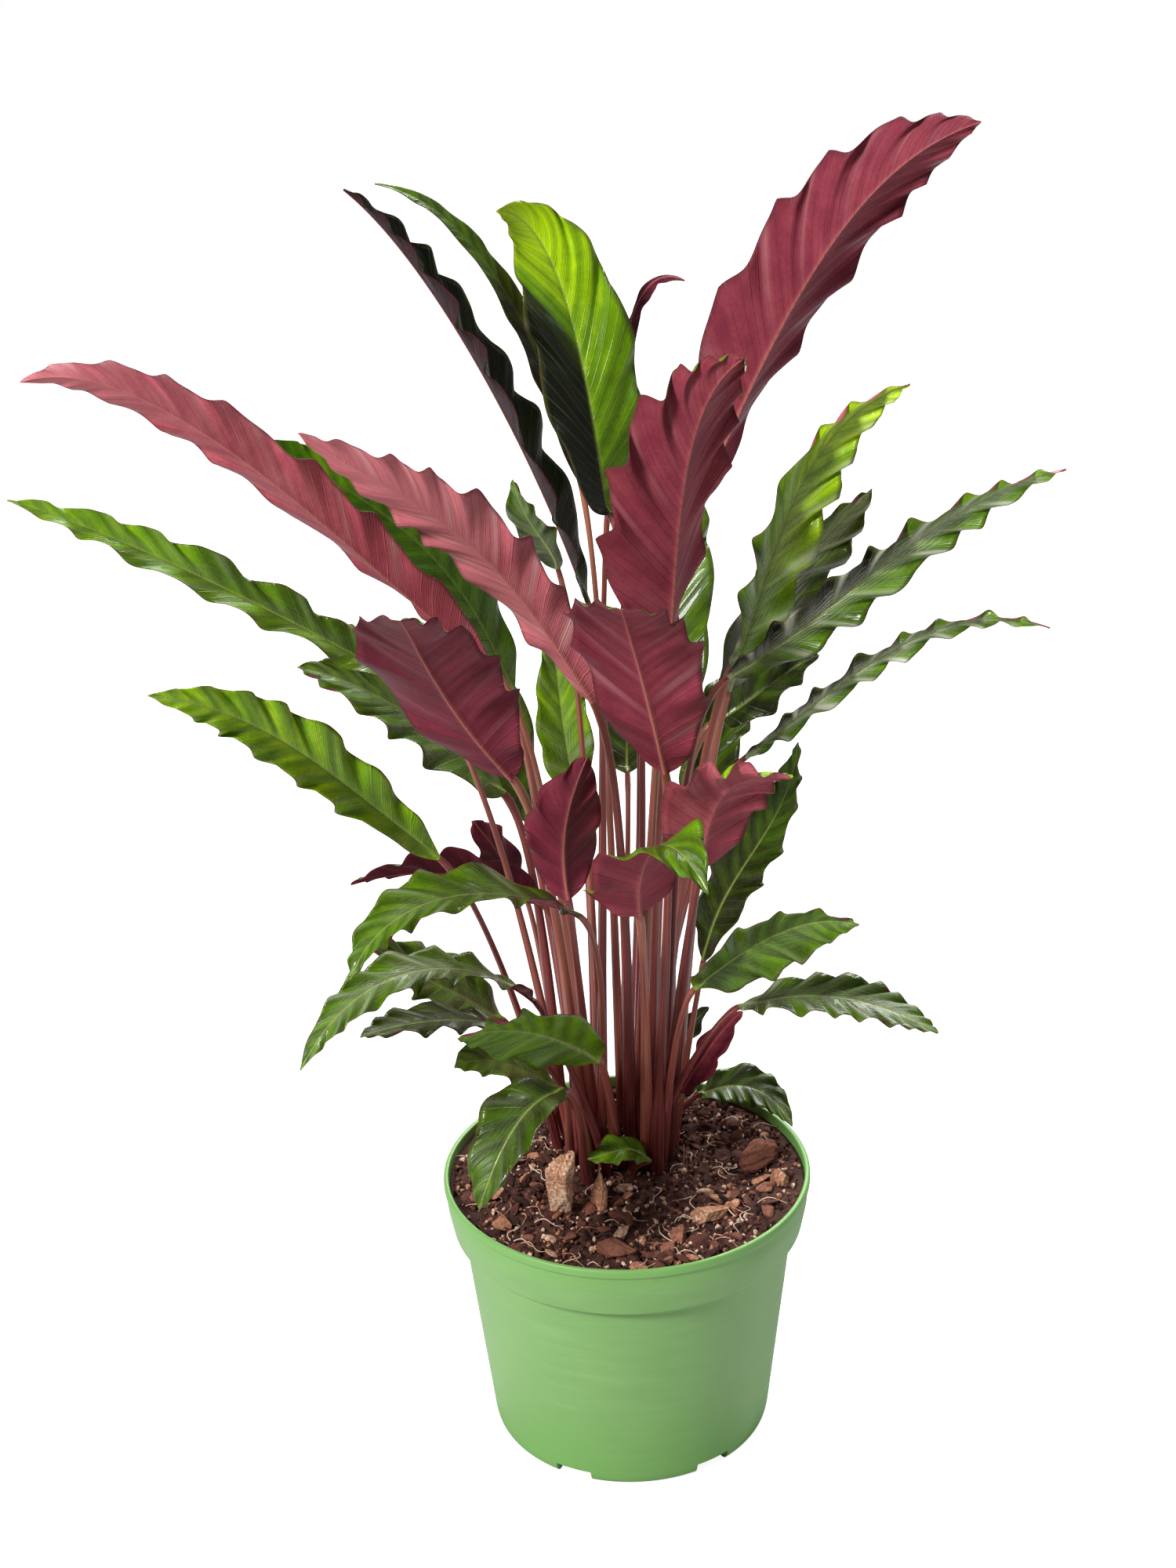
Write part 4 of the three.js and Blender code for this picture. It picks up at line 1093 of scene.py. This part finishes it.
def stalk_material():
    """Colour by streaks, which are noise drawn out along the stalk on the leaf's own map, plus shares
    of the way to the blade and of the stalk's own tone."""
    finish = {"Roughness": 0.33, "Specular IOR Level": 0.45, "Coat Weight": 0.2, "Coat Roughness": 0.15}
    made, tree, shader = new_material("leaf stalk", finish)
    leaf_map = node(tree, "UVMap", uv_map="leaf").outputs[0]
    streaks = noise(tree, stretched(tree, leaf_map, STALK_STREAKS["squeeze"]), scale=3.0, detail=4.0)
    streaks = maths(tree, "MULTIPLY_ADD", streaks, STALK_STREAKS["contrast"], STALK_STREAKS["offset"])
    along = node(tree, "SeparateXYZ", {0: leaf_map}).outputs[1]
    level = maths(tree, "MULTIPLY_ADD", along, TOWARDS_BLADE, streaks)
    # On the stalk rows the shade value is each stalk's own tone, not painted light.
    level = maths(tree, "MULTIPLY_ADD", value_of(tree, "shade"), TONE_STRENGTH, level)
    tree.links.new(ramp(tree, level, STALK_REDS), shader.inputs["Base Color"])
    grains = use_group(tree, grain, {"Place": object_place(tree), "Size": 0.0009})
    set_bump(tree, shader, grains["Height"], distance=0.0002, strength=0.5)
    return made


leaf_stalk = stalk_material()
print("stalks go from", STALK_REDS[0][1], "to", STALK_REDS[-1][1])

# %% [markdown]
# ## The leaves in place
# Each fine leaf now stands for the coarse one of the same name, and rides on the same body.

# %% Leaves in place
for name, mesh in leaf_meshes.items():
    slot = next(part["material_slot"] for part in frame["record"]["subparts"] if part["node"] == name)
    add_piece("fine_" + name, mesh, (upper_face, underside, leaf_stalk), slot, name)
print("leaves placed:", len(leaf_meshes))

# %% [markdown]
# ## The pot
# A nursery pot is blown or pressed from thin plastic: a wall that leans out, a short ledge, a band above
# it, a lip at the top, and a foot ring with notches so that water can run out. The profile is a short
# list of points, each with its own rounding, and is carried round the axis. Notches and drain slots
# are then cut with a Boolean each, because a hole through a wall is no function of a grid.

# %% The pot's profile
POT_HEIGHT = 132.0
RIM_RADIUS = 85.0
WALL = 1.4
POT_FLOOR = (6.4, 7.6)
UNDERSIDE = ((0, 0, 0), (16, 0, 0.5), (16.8, POT_FLOOR[0], 0.5), (59, POT_FLOOR[0], 0.5), (60, 0, 0.5))
FOOT_RING = ((62.2, 0, 0.8), (64.6, 1.4, 1.6))
WALL_LINE = ((65.7, 4.7, 3.0), (77.0, 104.0, 1.4), (81.6, 106.8, 0.9), (84.2, 120.4, 4.0))
LIP = ((RIM_RADIUS - 0.7, 127.2, 0.5), (RIM_RADIUS + 0.3, 128.2, 0.5),
       (RIM_RADIUS + 0.3, POT_HEIGHT, 1.4), (RIM_RADIUS - 2.1, POT_HEIGHT, 0.9))
INSIDE = [(radius - WALL, height + WALL / 2, 1.5) for radius, height, _ in WALL_LINE[:0:-1]]
INNER_FLOOR = ((64.6, POT_FLOOR[1], 1.0), (0, POT_FLOOR[1], 0))
pot_corners = (*UNDERSIDE, *FOOT_RING, *WALL_LINE, *LIP, *INSIDE, *INNER_FLOOR)
print("corners of the profile, as radius, height and rounding:", len(pot_corners))

# %% Turned shapes
CORNER_STEPS = 5
LONGEST_CUT = 0.45
POT_TURNS = 180


def rounded(corners):
    """Points of a profile of (radius, height, rounding). Each corner becomes a quadratic Bezier that
    starts and ends at most its rounding away, so that the ends of each arc run along the two sides."""
    table = np.array(corners, float)
    flat, roundings = table[:, :2], table[:, 2]
    points = [flat[0]]
    for before, corner, after, rounding in zip(flat, flat[1:], flat[2:], roundings[1:]):
        near = min(rounding, LONGEST_CUT * np.linalg.norm(before - corner))
        far = min(rounding, LONGEST_CUT * np.linalg.norm(after - corner))
        start = corner + unit(before - corner) * near
        end = corner + unit(after - corner) * far
        t = np.linspace(0, 1, CORNER_STEPS)[:, None]
        points.extend((1 - t) ** 2 * start + 2 * t * (1 - t) * corner + t ** 2 * end)
    points.append(flat[-1])
    return np.array(points)


def turned(profile, turns):
    """Points and faces of a profile of (radius, height) carried round the axis. It starts and ends on
    the axis, where its rows become one point each."""
    angle = np.linspace(0, 2 * np.pi, turns, endpoint=False)
    ring = np.stack([np.cos(angle), np.sin(angle)], axis=1)
    inner = profile[1:-1]
    flat = inner[:, 0, None, None] * ring[None]
    height = np.broadcast_to(inner[:, 1, None, None], (len(inner), turns, 1))
    points = np.concatenate([flat, height], axis=2).reshape(-1, 3)
    hubs = np.array([[0, 0, profile[0][1]], [0, 0, profile[-1][1]]])
    quads, fans = tube_faces(len(inner), turns)
    return np.concatenate([points, hubs]), quads, fans


pot_profile = rounded(pot_corners)
pot_points, pot_quads, pot_fans = turned(pot_profile, POT_TURNS)
print("points of the rounded profile:", len(pot_profile))

# %% Shapes to cut with
NOTCHES = 6
NOTCH_TURN = 26
NOTCH = dict(size=(20.0, 17.5, 7.0), radius=62.2, middle=2.5)
SLOT = dict(size=(9.0, 10.0, 6.0), radius=57.0, middle=7.4)
BOX_CORNERS = np.array([[x, y, z] for x in (-1, 1) for y in (-1, 1) for z in (-1, 1)], float) / 2
BOX_FACES = np.array([[0, 1, 3, 2], [4, 6, 7, 5], [0, 4, 5, 1], [2, 3, 7, 6], [0, 2, 6, 4], [1, 5, 7, 3]])


def ring_of_boxes(name, size, radius, middle):
    """Boxes round the axis, as one mesh to cut with. The size runs outwards, round and up."""
    angle = np.radians(-90 - NOTCH_TURN + np.arange(NOTCHES) * 360 / NOTCHES)
    cos, sin = np.cos(angle)[:, None], np.sin(angle)[:, None]
    box = BOX_CORNERS * size
    out = radius + box[None, :, 0]
    side = box[None, :, 1]
    height = np.broadcast_to(middle + box[None, :, 2], (NOTCHES, len(box)))
    points = np.stack([out * cos - side * sin, out * sin + side * cos, height], axis=2)
    quads = (BOX_FACES[None] + len(box) * np.arange(NOTCHES)[:, None, None]).reshape(-1, 4)
    return mesh_from(name, points.reshape(-1, 3) * MM, quads)


def cut(target, cutter_mesh):
    """Cuts a mesh out of the object with an applied Boolean."""
    cutter = bpy.data.objects.new("cutter", cutter_mesh)
    bpy.context.scene.collection.objects.link(cutter)
    modifier = target.modifiers.new("cut", "BOOLEAN")
    modifier.operation = "DIFFERENCE"
    modifier.solver = "EXACT"
    modifier.object = cutter
    graph = bpy.context.evaluated_depsgraph_get()
    result = bpy.data.meshes.new_from_object(target.evaluated_get(graph))
    target.modifiers.clear()
    target.data = result
    bpy.data.objects.remove(cutter)


print("notches, each with a drain slot:", NOTCHES)

# %% [markdown]
# ### The plastic
# The plastic is a light, slightly yellow green, a little fuller at the lip and at the foot. Handling has
# scuffed it, and the scuffs lie flat round the wall. They make it paler and rougher in places. They are
# noise on the pot's own place, squeezed in height, so no map has to be laid round the wall.

# %% The plastic and the finished pot
PLASTIC = ((0.3, (0.225, 0.455, 0.140)), (0.55, (0.245, 0.480, 0.158)), (0.75, (0.275, 0.510, 0.182)))
FULL_GREEN = (0.165, 0.440, 0.078)
DULL_GREEN = (0.180, 0.400, 0.105)
SHARP_ANGLE = 40


def pot_material():
    """Colour by scuffs, with a fuller green by height and a duller one in wide clouds."""
    made, tree, shader = new_material("pot plastic", {"Roughness": 0.4, "Specular IOR Level": 0.5})
    place = object_place(tree)
    flat_place = stretched(tree, place, (1.0, 1.0, 7.0))
    scuffs = noise(tree, flat_place, scale=34.0, detail=5.0, roughness=0.6)
    height = node(tree, "SeparateXYZ", {0: place}).outputs[2]
    foot = spread(tree, height, low=0.0, high=0.05, to_low=1.0, to_high=0.0)
    lip = spread(tree, height, low=0.118, high=POT_HEIGHT * MM, to_high=0.8)
    full = maths(tree, "MULTIPLY", maths(tree, "MAXIMUM", foot, lip), 0.6)
    clouds = noise(tree, place, scale=14.0, detail=2.0)
    clouds = spread(tree, clouds, low=0.45, high=0.75, to_high=0.25)
    colour = mixed(tree, full, ramp(tree, scuffs, PLASTIC), FULL_GREEN)
    tree.links.new(mixed(tree, clouds, colour, DULL_GREEN), shader.inputs["Base Color"])
    rough_scuffs = spread(tree, scuffs, low=0.3, high=0.7, to_low=0.34, to_high=0.52)
    tree.links.new(rough_scuffs, shader.inputs["Roughness"])
    grains = use_group(tree, grain, {"Place": stretched(tree, place, (1.0, 1.0, 5.0)), "Size": 0.004})
    set_bump(tree, shader, grains["Height"], distance=0.0002, strength=0.35)
    return made


pot_mesh = mesh_from("pot_shell", pot_points * MM, pot_quads, pot_fans)
pot = add_piece("pot_shell", pot_mesh, (pot_material(),), "pot_plastic", "pot")
cut(pot, ring_of_boxes("notches", **NOTCH))
cut(pot, ring_of_boxes("slots", **SLOT))
pot.data.set_sharp_from_angle(angle=math.radians(SHARP_ANGLE))
print("pot faces:", len(pot.data.polygons))

# %% [markdown]
# ## The potting mix
# The mix is dark peat with bark in it, from crumbs to chips as long as a finger joint. Its body is one
# turned shape, which sits a little inside the pot's wall. Its top has fine rings, so that the same
# swells and lumps as in the coarse solid, and a crumbly roughness, can lift it.

# %% The body of the mix
SWELL = dict(height=1.3, along=13.0, across=11.0, shift=0.6)
LUMPS = dict(height=0.8, along=5.2, across=4.6, shift=1.1)
CRUMBLE = dict(waves=60, shortest=3.0, octaves=2.2, height=1.1, sunk=0.5)
CLEARANCE = 0.35
BOTTOM_RADIUS = 64.0
EDGE_FADE = 10
SOIL_TURNS = 240
SOIL_RINGS = 90
SEEDS = dict(top=5, pieces=11, large=3)


def soil_bump(x, y):
    """The broad swells and lumps that the coarse solid has too, each a height times a wave along x
    and a wave along y."""
    swell = SWELL["height"] * np.sin(x / SWELL["along"] + SWELL["shift"]) * np.cos(y / SWELL["across"])
    lumps = LUMPS["height"] * np.sin(x / LUMPS["along"]) * np.sin(y / LUMPS["across"] + LUMPS["shift"])
    return swell + lumps


def rough(points, generator):
    """A rough height field: a sum of plane sines whose directions and phases are random, each as
    strong as it is long, and longer than the shortest by a random share of the octaves."""
    waves = CRUMBLE["waves"]
    lengths = CRUMBLE["shortest"] * 2.0 ** generator.uniform(0, CRUMBLE["octaves"], waves)
    angle = generator.uniform(0, 2 * np.pi, waves)
    phase = generator.uniform(0, 2 * np.pi, waves)
    way = np.stack([np.cos(angle), np.sin(angle)]) * 2 * np.pi / lengths
    return (np.sin(points @ way + phase) * lengths).sum(axis=1) / lengths.sum() * np.sqrt(waves)


def soil_mesh():
    """The turned body. Its top rows are lifted by the swells and a crumbly roughness, which both
    fade at the edge by 1 - (radius / edge)^10."""
    thinner, higher = WALL + CLEARANCE, WALL / 2 + CLEARANCE
    wall = [(radius - thinner, height + higher) for radius, height, _ in WALL_LINE[1:]]
    edge = wall[-1][0]
    bottom = POT_FLOOR[1] + CLEARANCE
    sides = [(0, bottom), (BOTTOM_RADIUS, bottom), *wall]
    top = [(edge * i / SOIL_RINGS, SOIL_TOP) for i in range(SOIL_RINGS, -1, -1)]
    points, quads, fans = turned(np.array(sides + top), SOIL_TURNS)
    on_top = points[:, 2] >= SOIL_TOP
    x, y = points[on_top, 0], points[on_top, 1]
    free = 1 - np.minimum(np.hypot(x, y) / edge, 1) ** EDGE_FADE
    crumbly = rough(points[on_top, :2], np.random.default_rng(SEEDS["top"]))
    points[on_top, 2] += free * (soil_bump(x, y) + CRUMBLE["height"] * crumbly - CRUMBLE["sunk"])
    return mesh_from("mix_body", points * MM, quads, fans)


body_mesh = soil_mesh()
print("mix faces:", len(body_mesh.polygons))

# %% [markdown]
# ### Loose pieces
# The crumbs are thousands of copies of one small stone, and the chips are many copies of a finer one.
# Each copy is broken, stretched and turned by its own random numbers, and chips are also grooved along
# their fibres. Numpy makes each kind all at once: one array holds every copy, so a thousand crumbs cost
# no more lines than one, and stay one piece.

# %% A stone and its turns
STONE_LEVELS = dict(crumb=2, chip=7, large=20)


def round_stone(level):
    """A ball of four-cornered faces: a cube's grid blown up to a sphere, with its seams closed."""
    steps = np.linspace(-1, 1, level + 1)
    a, b = np.meshgrid(steps, steps, indexing="ij")
    flat = np.stack([a, b, np.ones_like(a)], axis=2).reshape(-1, 3)
    turns = [np.roll(flat * [1, 1, sign], k, axis=1) for k in range(3) for sign in (1, -1)]
    i, j = np.meshgrid(np.arange(level), np.arange(level), indexing="ij")
    corner = (i * (level + 1) + j).ravel()
    quads = np.stack([corner, corner + level + 1, corner + level + 2, corner + 1], axis=1)
    faces = [(quads if sign else quads[:, ::-1]) + k * len(flat) for k, sign in enumerate([1, 0] * 3)]
    points = np.concatenate(turns)
    unique, place = np.unique(points.round(6), axis=0, return_inverse=True)
    return unique / np.linalg.norm(unique, axis=1, keepdims=True), place.ravel()[np.concatenate(faces)]


def rotations(turn, lean):
    """Rotation matrices: a turn about Z after a tip about X, both in radians."""
    c, s, cl, sl, zero = np.cos(turn), np.sin(turn), np.cos(lean), np.sin(lean), np.zeros(len(turn))
    return np.stack([c, -s * cl, s * sl, s, c * cl, -c * sl, zero, sl, cl], axis=1).reshape(-1, 3, 3)


def random_turns(count, generator, tip):
    """Rotations with a free turn and a lean of at most tip to either side."""
    turn, lean = generator.uniform(0, 2 * np.pi, count), generator.uniform(-tip, tip, count)
    return rotations(turn, lean)


print("faces of a stone:", {kind: len(round_stone(level)[1]) for kind, level in STONE_LEVELS.items()})

# %% Many stones in one mesh
BREAKS = 10
BREAK_DEPTHS = (0.42, 0.9)
LEAST_FACING = 0.1
FIBRES = dict(waves=30, lengths=(1.1, 4.2), drawn_out=0.16)
STONE_FULLNESS = 0.62


def broken(points, count, generator):
    """Copies of a ball with random flat breaks: along a direction p, each reaches the least of 1 and
    depth / (normal . p) over its breaks."""
    normals = unit(generator.standard_normal((count, BREAKS, 3)))
    depths = generator.uniform(*BREAK_DEPTHS, (count, BREAKS, 1))
    facing = normals @ points.T
    reach = np.where(facing > LEAST_FACING, depths / np.maximum(facing, LEAST_FACING), 1.0).min(axis=1)
    return points[None] * np.minimum(reach, 1.0)[..., None]


def fibres(points, sizes, generator):
    """Grooves along the longest side of each stone: a mean of sines of directions that run across
    that side, at points in millimetres."""
    count = FIBRES["waves"]
    lengths = generator.uniform(*FIBRES["lengths"], count)
    ways = unit(generator.standard_normal((count, 3))) * 2 * np.pi / lengths[:, None]
    squeezed = np.where(sizes == sizes.max(axis=1, keepdims=True), FIBRES["drawn_out"], 1.0)
    waves = np.sin((points * squeezed[:, None]) @ ways.T + generator.uniform(0, 2 * np.pi, count))
    return waves.mean(axis=2, keepdims=True) * math.sqrt(count)


def stones_mesh(name, shape, places, sizes, turns, roughness, tints, generator):
    """Copies of a stone: broken, stretched to their sizes, grooved as deep as the roughness says,
    turned, and set in their places. Their faces stay flat, as bark breaks."""
    points, quads = shape
    copies = broken(points, len(places), generator) * sizes[:, None] * STONE_FULLNESS
    copies = copies * (1 + roughness * fibres(copies, sizes, generator))
    copies = np.einsum("nij,npj->npi", turns, copies) + places[:, None]
    faces = quads[None] + len(points) * np.arange(len(places))[:, None, None]
    mesh = mesh_from(name, copies.reshape(-1, 3) * MM, faces.reshape(-1, 4))
    mesh.polygons.foreach_set("use_smooth", np.zeros(len(mesh.polygons), bool))
    add_values(mesh, "tint", np.repeat(tints, len(points)))
    return mesh


print("flat breaks of a stone:", BREAKS, "and fibres by", FIBRES["waves"], "waves")

# %% Random places on the mix
SPARE = 4


def spots(count, reach, generator, clear=0.0):
    """Places evenly spread within reach of the middle, more than clear away from every stalk. Some
    are drawn to spare, since those that are too near are dropped."""
    radius = reach * np.sqrt(generator.uniform(0, 1, SPARE * count))
    angle = generator.uniform(0, 2 * np.pi, SPARE * count)
    found = np.stack([radius * np.cos(angle), radius * np.sin(angle)], axis=1)
    feet = np.array([leaf["foot"] for leaf in LEAVES.values()], float)
    away = np.linalg.norm(found[:, None] - feet[None], axis=2).min(axis=1) > clear
    found = found[away][:count]
    return np.column_stack([found, SOIL_TOP + soil_bump(found[:, 0], found[:, 1])])


random = np.random.default_rng(SEEDS["pieces"])
print("stalks to keep clear of:", len(LEAVES))

# %% Crumbs
CRUMBS = dict(count=3600, reach=81.0, sizes=(0.7, 2.5), stretch=(0.6, 1.4), tip=1.5, lift=0.3, dark=1.7)
PALE_SPECKS = dict(every=12, tint=1.05)

crumb_places = spots(CRUMBS["count"], CRUMBS["reach"], random)
count = len(crumb_places)
crumb_sizes = random.uniform(*CRUMBS["sizes"], (count, 1)) * random.uniform(*CRUMBS["stretch"], (count, 3))
crumb_tints = random.uniform(0, 1, count) ** CRUMBS["dark"]
crumb_tints[::PALE_SPECKS["every"]] = PALE_SPECKS["tint"]
crumb_turns = random_turns(count, random, CRUMBS["tip"])
crumb_stone = round_stone(STONE_LEVELS["crumb"])
crumbs = stones_mesh("bark_crumbs", crumb_stone, crumb_places + [0, 0, CRUMBS["lift"]], crumb_sizes,
                     crumb_turns, 0.0, crumb_tints, random)
print("crumbs:", count)

# %% Chips
CHIPS = dict(count=160, reach=77.0, clear=4.0, sizes=((4, 11), (3, 7), (2, 4)), tip=0.9, lift=0.8)
CHIP_TINTS = dict(span=(0.05, 1.0), dark=1.2)
CHIP_FIBRES = 0.06
BARE_PATCH = dict(place=(20.0, -36.0), radius=19.0)

chip_places = spots(CHIPS["count"], CHIPS["reach"], random, CHIPS["clear"])
from_patch = np.linalg.norm(chip_places[:, :2] - BARE_PATCH["place"], axis=1)
chip_places = chip_places[from_patch > BARE_PATCH["radius"]]
count = len(chip_places)
chip_sizes = np.column_stack([random.uniform(low, high, count) for low, high in CHIPS["sizes"]])
chip_turns = random_turns(count, random, CHIPS["tip"])
chip_tints = random.uniform(*CHIP_TINTS["span"], count) ** CHIP_TINTS["dark"]
chip_stone = round_stone(STONE_LEVELS["chip"])
chips = stones_mesh("bark_chips", chip_stone, chip_places + [0, 0, CHIPS["lift"]], chip_sizes,
                    chip_turns, CHIP_FIBRES, chip_tints, random)
print("chips outside the bare patch:", count)

# %% [markdown]
# ### The chips that stand out
# A few large pieces catch the eye, and they lie where the coarse solid has them: a tall tan splinter
# left of the middle, a smaller one beside it, and broad reddish ones nearer the rim. Each row gives a
# place, a size, a turn, a lean and a tint, and the chip stands partly sunk.

# %% Large chips
STANDS_OUT = 0.3
LARGE_FIBRES = 0.05
LARGE_CHIPS = (
    ((-31, -34), (13, 9, 48), 0.3, 0.22, 0.93), ((-14, -26), (8, 5, 20), -0.4, -0.2, 0.86),
    ((61, 9), (19, 14, 14), 0.5, 0.3, 0.6), ((37, -38), (15, 10, 9), 0.2, -0.3, 0.9),
    ((-6, -65), (15, 9, 9), -0.2, 0.2, 0.58), ((22, -53), (11, 8, 8), 0.9, 0.3, 0.7),
    ((-58, -38), (10, 7, 8), -0.7, 0.4, 0.8), ((-69, -17), (10, 7, 8), 0.4, -0.2, 0.76),
    ((71, -9), (8, 6, 9), -0.3, 0.2, 0.86),
)


def large_chips_mesh():
    """All large chips as one mesh."""
    places = np.array([[*at, SOIL_TOP + soil_bump(*at) + STANDS_OUT * size[2]]
                       for at, size, *_ in LARGE_CHIPS])
    sizes = np.array([size for _, size, *_ in LARGE_CHIPS], float)
    turn, lean, tints = (np.array([chip[k] for chip in LARGE_CHIPS]) for k in (2, 3, 4))
    stone = round_stone(STONE_LEVELS["large"])
    return stones_mesh("large_chips", stone, places, sizes, rotations(turn, lean), LARGE_FIBRES,
                       tints, np.random.default_rng(SEEDS["large"]))


large_chips = large_chips_mesh()
print("large chips:", len(LARGE_CHIPS))

# %% [markdown]
# ### Rootlets and a dry stump
# Pale rootlets lie about on the mix, and one dry stump of a sheath stands among the stalks. All are
# thin tubes, which a line, a radius and a few points round each step describe.

# %% Thin tubes
THREAD_STEPS = 12
THREAD_SIDES = 5
THREAD_TAPER = 0.6
THREAD_WAVES = (0.5, 1.3)


def thread_lines(starts, headings, sideways, lengths, bend, lift, generator):
    """Centre lines: start + heading length s, plus bend length sin(2 pi s waves) sideways and
    lift sin(pi s) upwards."""
    s = np.linspace(0, 1, THREAD_STEPS)
    wave = np.sin(np.pi * 2 * s[None] * generator.uniform(*THREAD_WAVES, (len(starts), 1)))
    line = starts[:, None] + (headings * lengths[:, None])[:, None] * s[None, :, None]
    line = line + (bend * lengths[:, None] * wave)[..., None] * sideways[:, None]
    line[..., 2] += lift * np.sin(np.pi * s)[None]
    return line


def threads_mesh(name, starts, headings, lengths, tints, generator, radius, bend, lift):
    """Tubes round the centre lines: each ring is cos(angle) sideways + sin(angle) across, times a
    radius that falls towards the end."""
    sideways = np.stack([-headings[:, 1], headings[:, 0], np.zeros(len(headings))], axis=1)
    line = thread_lines(starts, headings, sideways, lengths, bend, lift, generator)
    angle = np.linspace(0, 2 * np.pi, THREAD_SIDES, endpoint=False)[None, None, :, None]
    across = np.cross(headings, sideways)
    around = np.cos(angle) * sideways[:, None, None] + np.sin(angle) * across[:, None, None]
    taper = (radius * (1 - THREAD_TAPER * np.linspace(0, 1, THREAD_STEPS)))[None, :, None, None]
    rings = line[:, :, None] + taper * around
    points = np.concatenate([rings.reshape(len(starts), -1, 3), line[:, [0, -1]]], axis=1)
    shift = points.shape[1] * np.arange(len(starts))[:, None, None]
    quads, fans = (faces[None] + shift for faces in tube_faces(THREAD_STEPS, THREAD_SIDES))
    mesh = mesh_from(name, points.reshape(-1, 3) * MM, quads.reshape(-1, 4), fans.reshape(-1, 3))
    add_values(mesh, "tint", np.repeat(tints, points.shape[1]))
    return mesh


print("points of a thread:", THREAD_STEPS * THREAD_SIDES + 2)

# %% Rootlets and the stump
ROOTLETS = dict(count=90, reach=76.0, lift=0.9, lengths=(6, 18), tints=(0.85, 1.15))
ROOTLET_SHAPE = dict(radius=0.35, bend=0.16, lift=1.2)
STUMP = dict(start=(26.0, -6.0, 121.0), heading=(0.03, 0.1, 0.99), length=25.0, tint=0.93)
STUMP_SHAPE = dict(radius=2.0, bend=0.03, lift=0.0)

root_places = spots(ROOTLETS["count"], ROOTLETS["reach"], random) + [0, 0, ROOTLETS["lift"]]
count = len(root_places)
root_angles = random.uniform(0, 2 * np.pi, count)
root_ways = np.stack([np.cos(root_angles), np.sin(root_angles), np.zeros(count)], axis=1)
root_lengths = random.uniform(*ROOTLETS["lengths"], count)
root_tints = random.uniform(*ROOTLETS["tints"], count)
rootlets = threads_mesh("rootlets", root_places, root_ways, root_lengths, root_tints, random,
                        **ROOTLET_SHAPE)
start, heading, length, tint = (np.array([STUMP[key]]) for key in ("start", "heading", "length", "tint"))
twig = threads_mesh("twig", start, unit(heading), length, tint, random, **STUMP_SHAPE)
print("rootlets:", count)

# %% [markdown]
# ### Colours of the mix
# Peat is nearly black where it is wet and brown where it has dried. Bark runs from dark brown through
# red-brown to tan on a fresh break. One material does for all the loose pieces, because each copy
# carries its own tint; the grain group adds fibres and pores.

# %% Materials of the mix
PEAT = ((0.0, (0.008, 0.004, 0.003)), (0.35, (0.040, 0.017, 0.013)),
        (0.7, (0.115, 0.050, 0.038)), (1.0, (0.230, 0.110, 0.080)))
BARK = ((0.0, (0.026, 0.010, 0.008)), (0.4, (0.120, 0.045, 0.032)), (0.7, (0.260, 0.100, 0.065)),
        (0.88, (0.480, 0.225, 0.130)), (0.96, (0.640, 0.400, 0.250)), (1.0, (0.780, 0.590, 0.470)))
FLECKS = 0.7
PATCHES = 0.4
PEAT_TINT = 0.5


def mix_material(name, stops, size, depth):
    """Colour by tint and grain of that size, with a rough, matt surface and relief of that depth."""
    made, tree, shader = new_material(name, {"Roughness": 0.9, "Specular IOR Level": 0.25})
    grains = use_group(tree, grain, {"Place": object_place(tree), "Size": size})
    flecks, patches = (maths(tree, "SUBTRACT", grains[label], 0.5) for label in ("Speckle", "Blotch"))
    level = maths(tree, "MULTIPLY_ADD", flecks, FLECKS, value_of(tree, "tint"))
    level = maths(tree, "MULTIPLY_ADD", patches, PATCHES, level)
    tree.links.new(ramp(tree, level, stops), shader.inputs["Base Color"])
    set_bump(tree, shader, grains["Height"], distance=depth, strength=0.9)
    return made


peat = mix_material("peat", PEAT, size=0.0022, depth=0.0012)
bark = mix_material("bark", BARK, size=0.0014, depth=0.0006)
add_values(body_mesh, "tint", np.full(len(body_mesh.vertices), PEAT_TINT))
add_piece("mix_body", body_mesh, (peat,), "potting_mix", "soil")
for mesh in (crumbs, chips, large_chips, rootlets, twig):
    add_piece(mesh.name, mesh, (bark,), "potting_mix")
print("mix pieces placed")

# %% [markdown]
# ## Floor
# The plant stands on a plain pale floor, which is part of the picture and not of the plant. It sends
# light back up to the undersides of the leaves. Seen by the camera it also glows, so that it is as
# white as the sky behind it, and that glow lights nothing.

# %% Floor
FLOOR_SIZE = 24.0
FLOOR_GLOW = 0.9
floor_corners = np.array([[-1, -1, 0], [1, -1, 0], [1, 1, 0], [-1, 1, 0]]) * FLOOR_SIZE / 2
floor = bpy.data.objects.new("floor", mesh_from("floor", floor_corners, np.array([[0, 1, 2, 3]])))
bpy.context.scene.collection.objects.link(floor)
floor_finish = {"Base Color": (0.6, 0.6, 0.6, 1), "Roughness": 0.9, "Emission Color": (1, 1, 1, 1)}
floor_material, floor_tree, floor_shader = new_material("pale floor", floor_finish)
seen = maths(floor_tree, "MULTIPLY", node(floor_tree, "LightPath").outputs["Is Camera Ray"], FLOOR_GLOW)
floor_tree.links.new(seen, floor_shader.inputs["Emission Strength"])
floor.data.materials.append(floor_material)
print("floor laid")
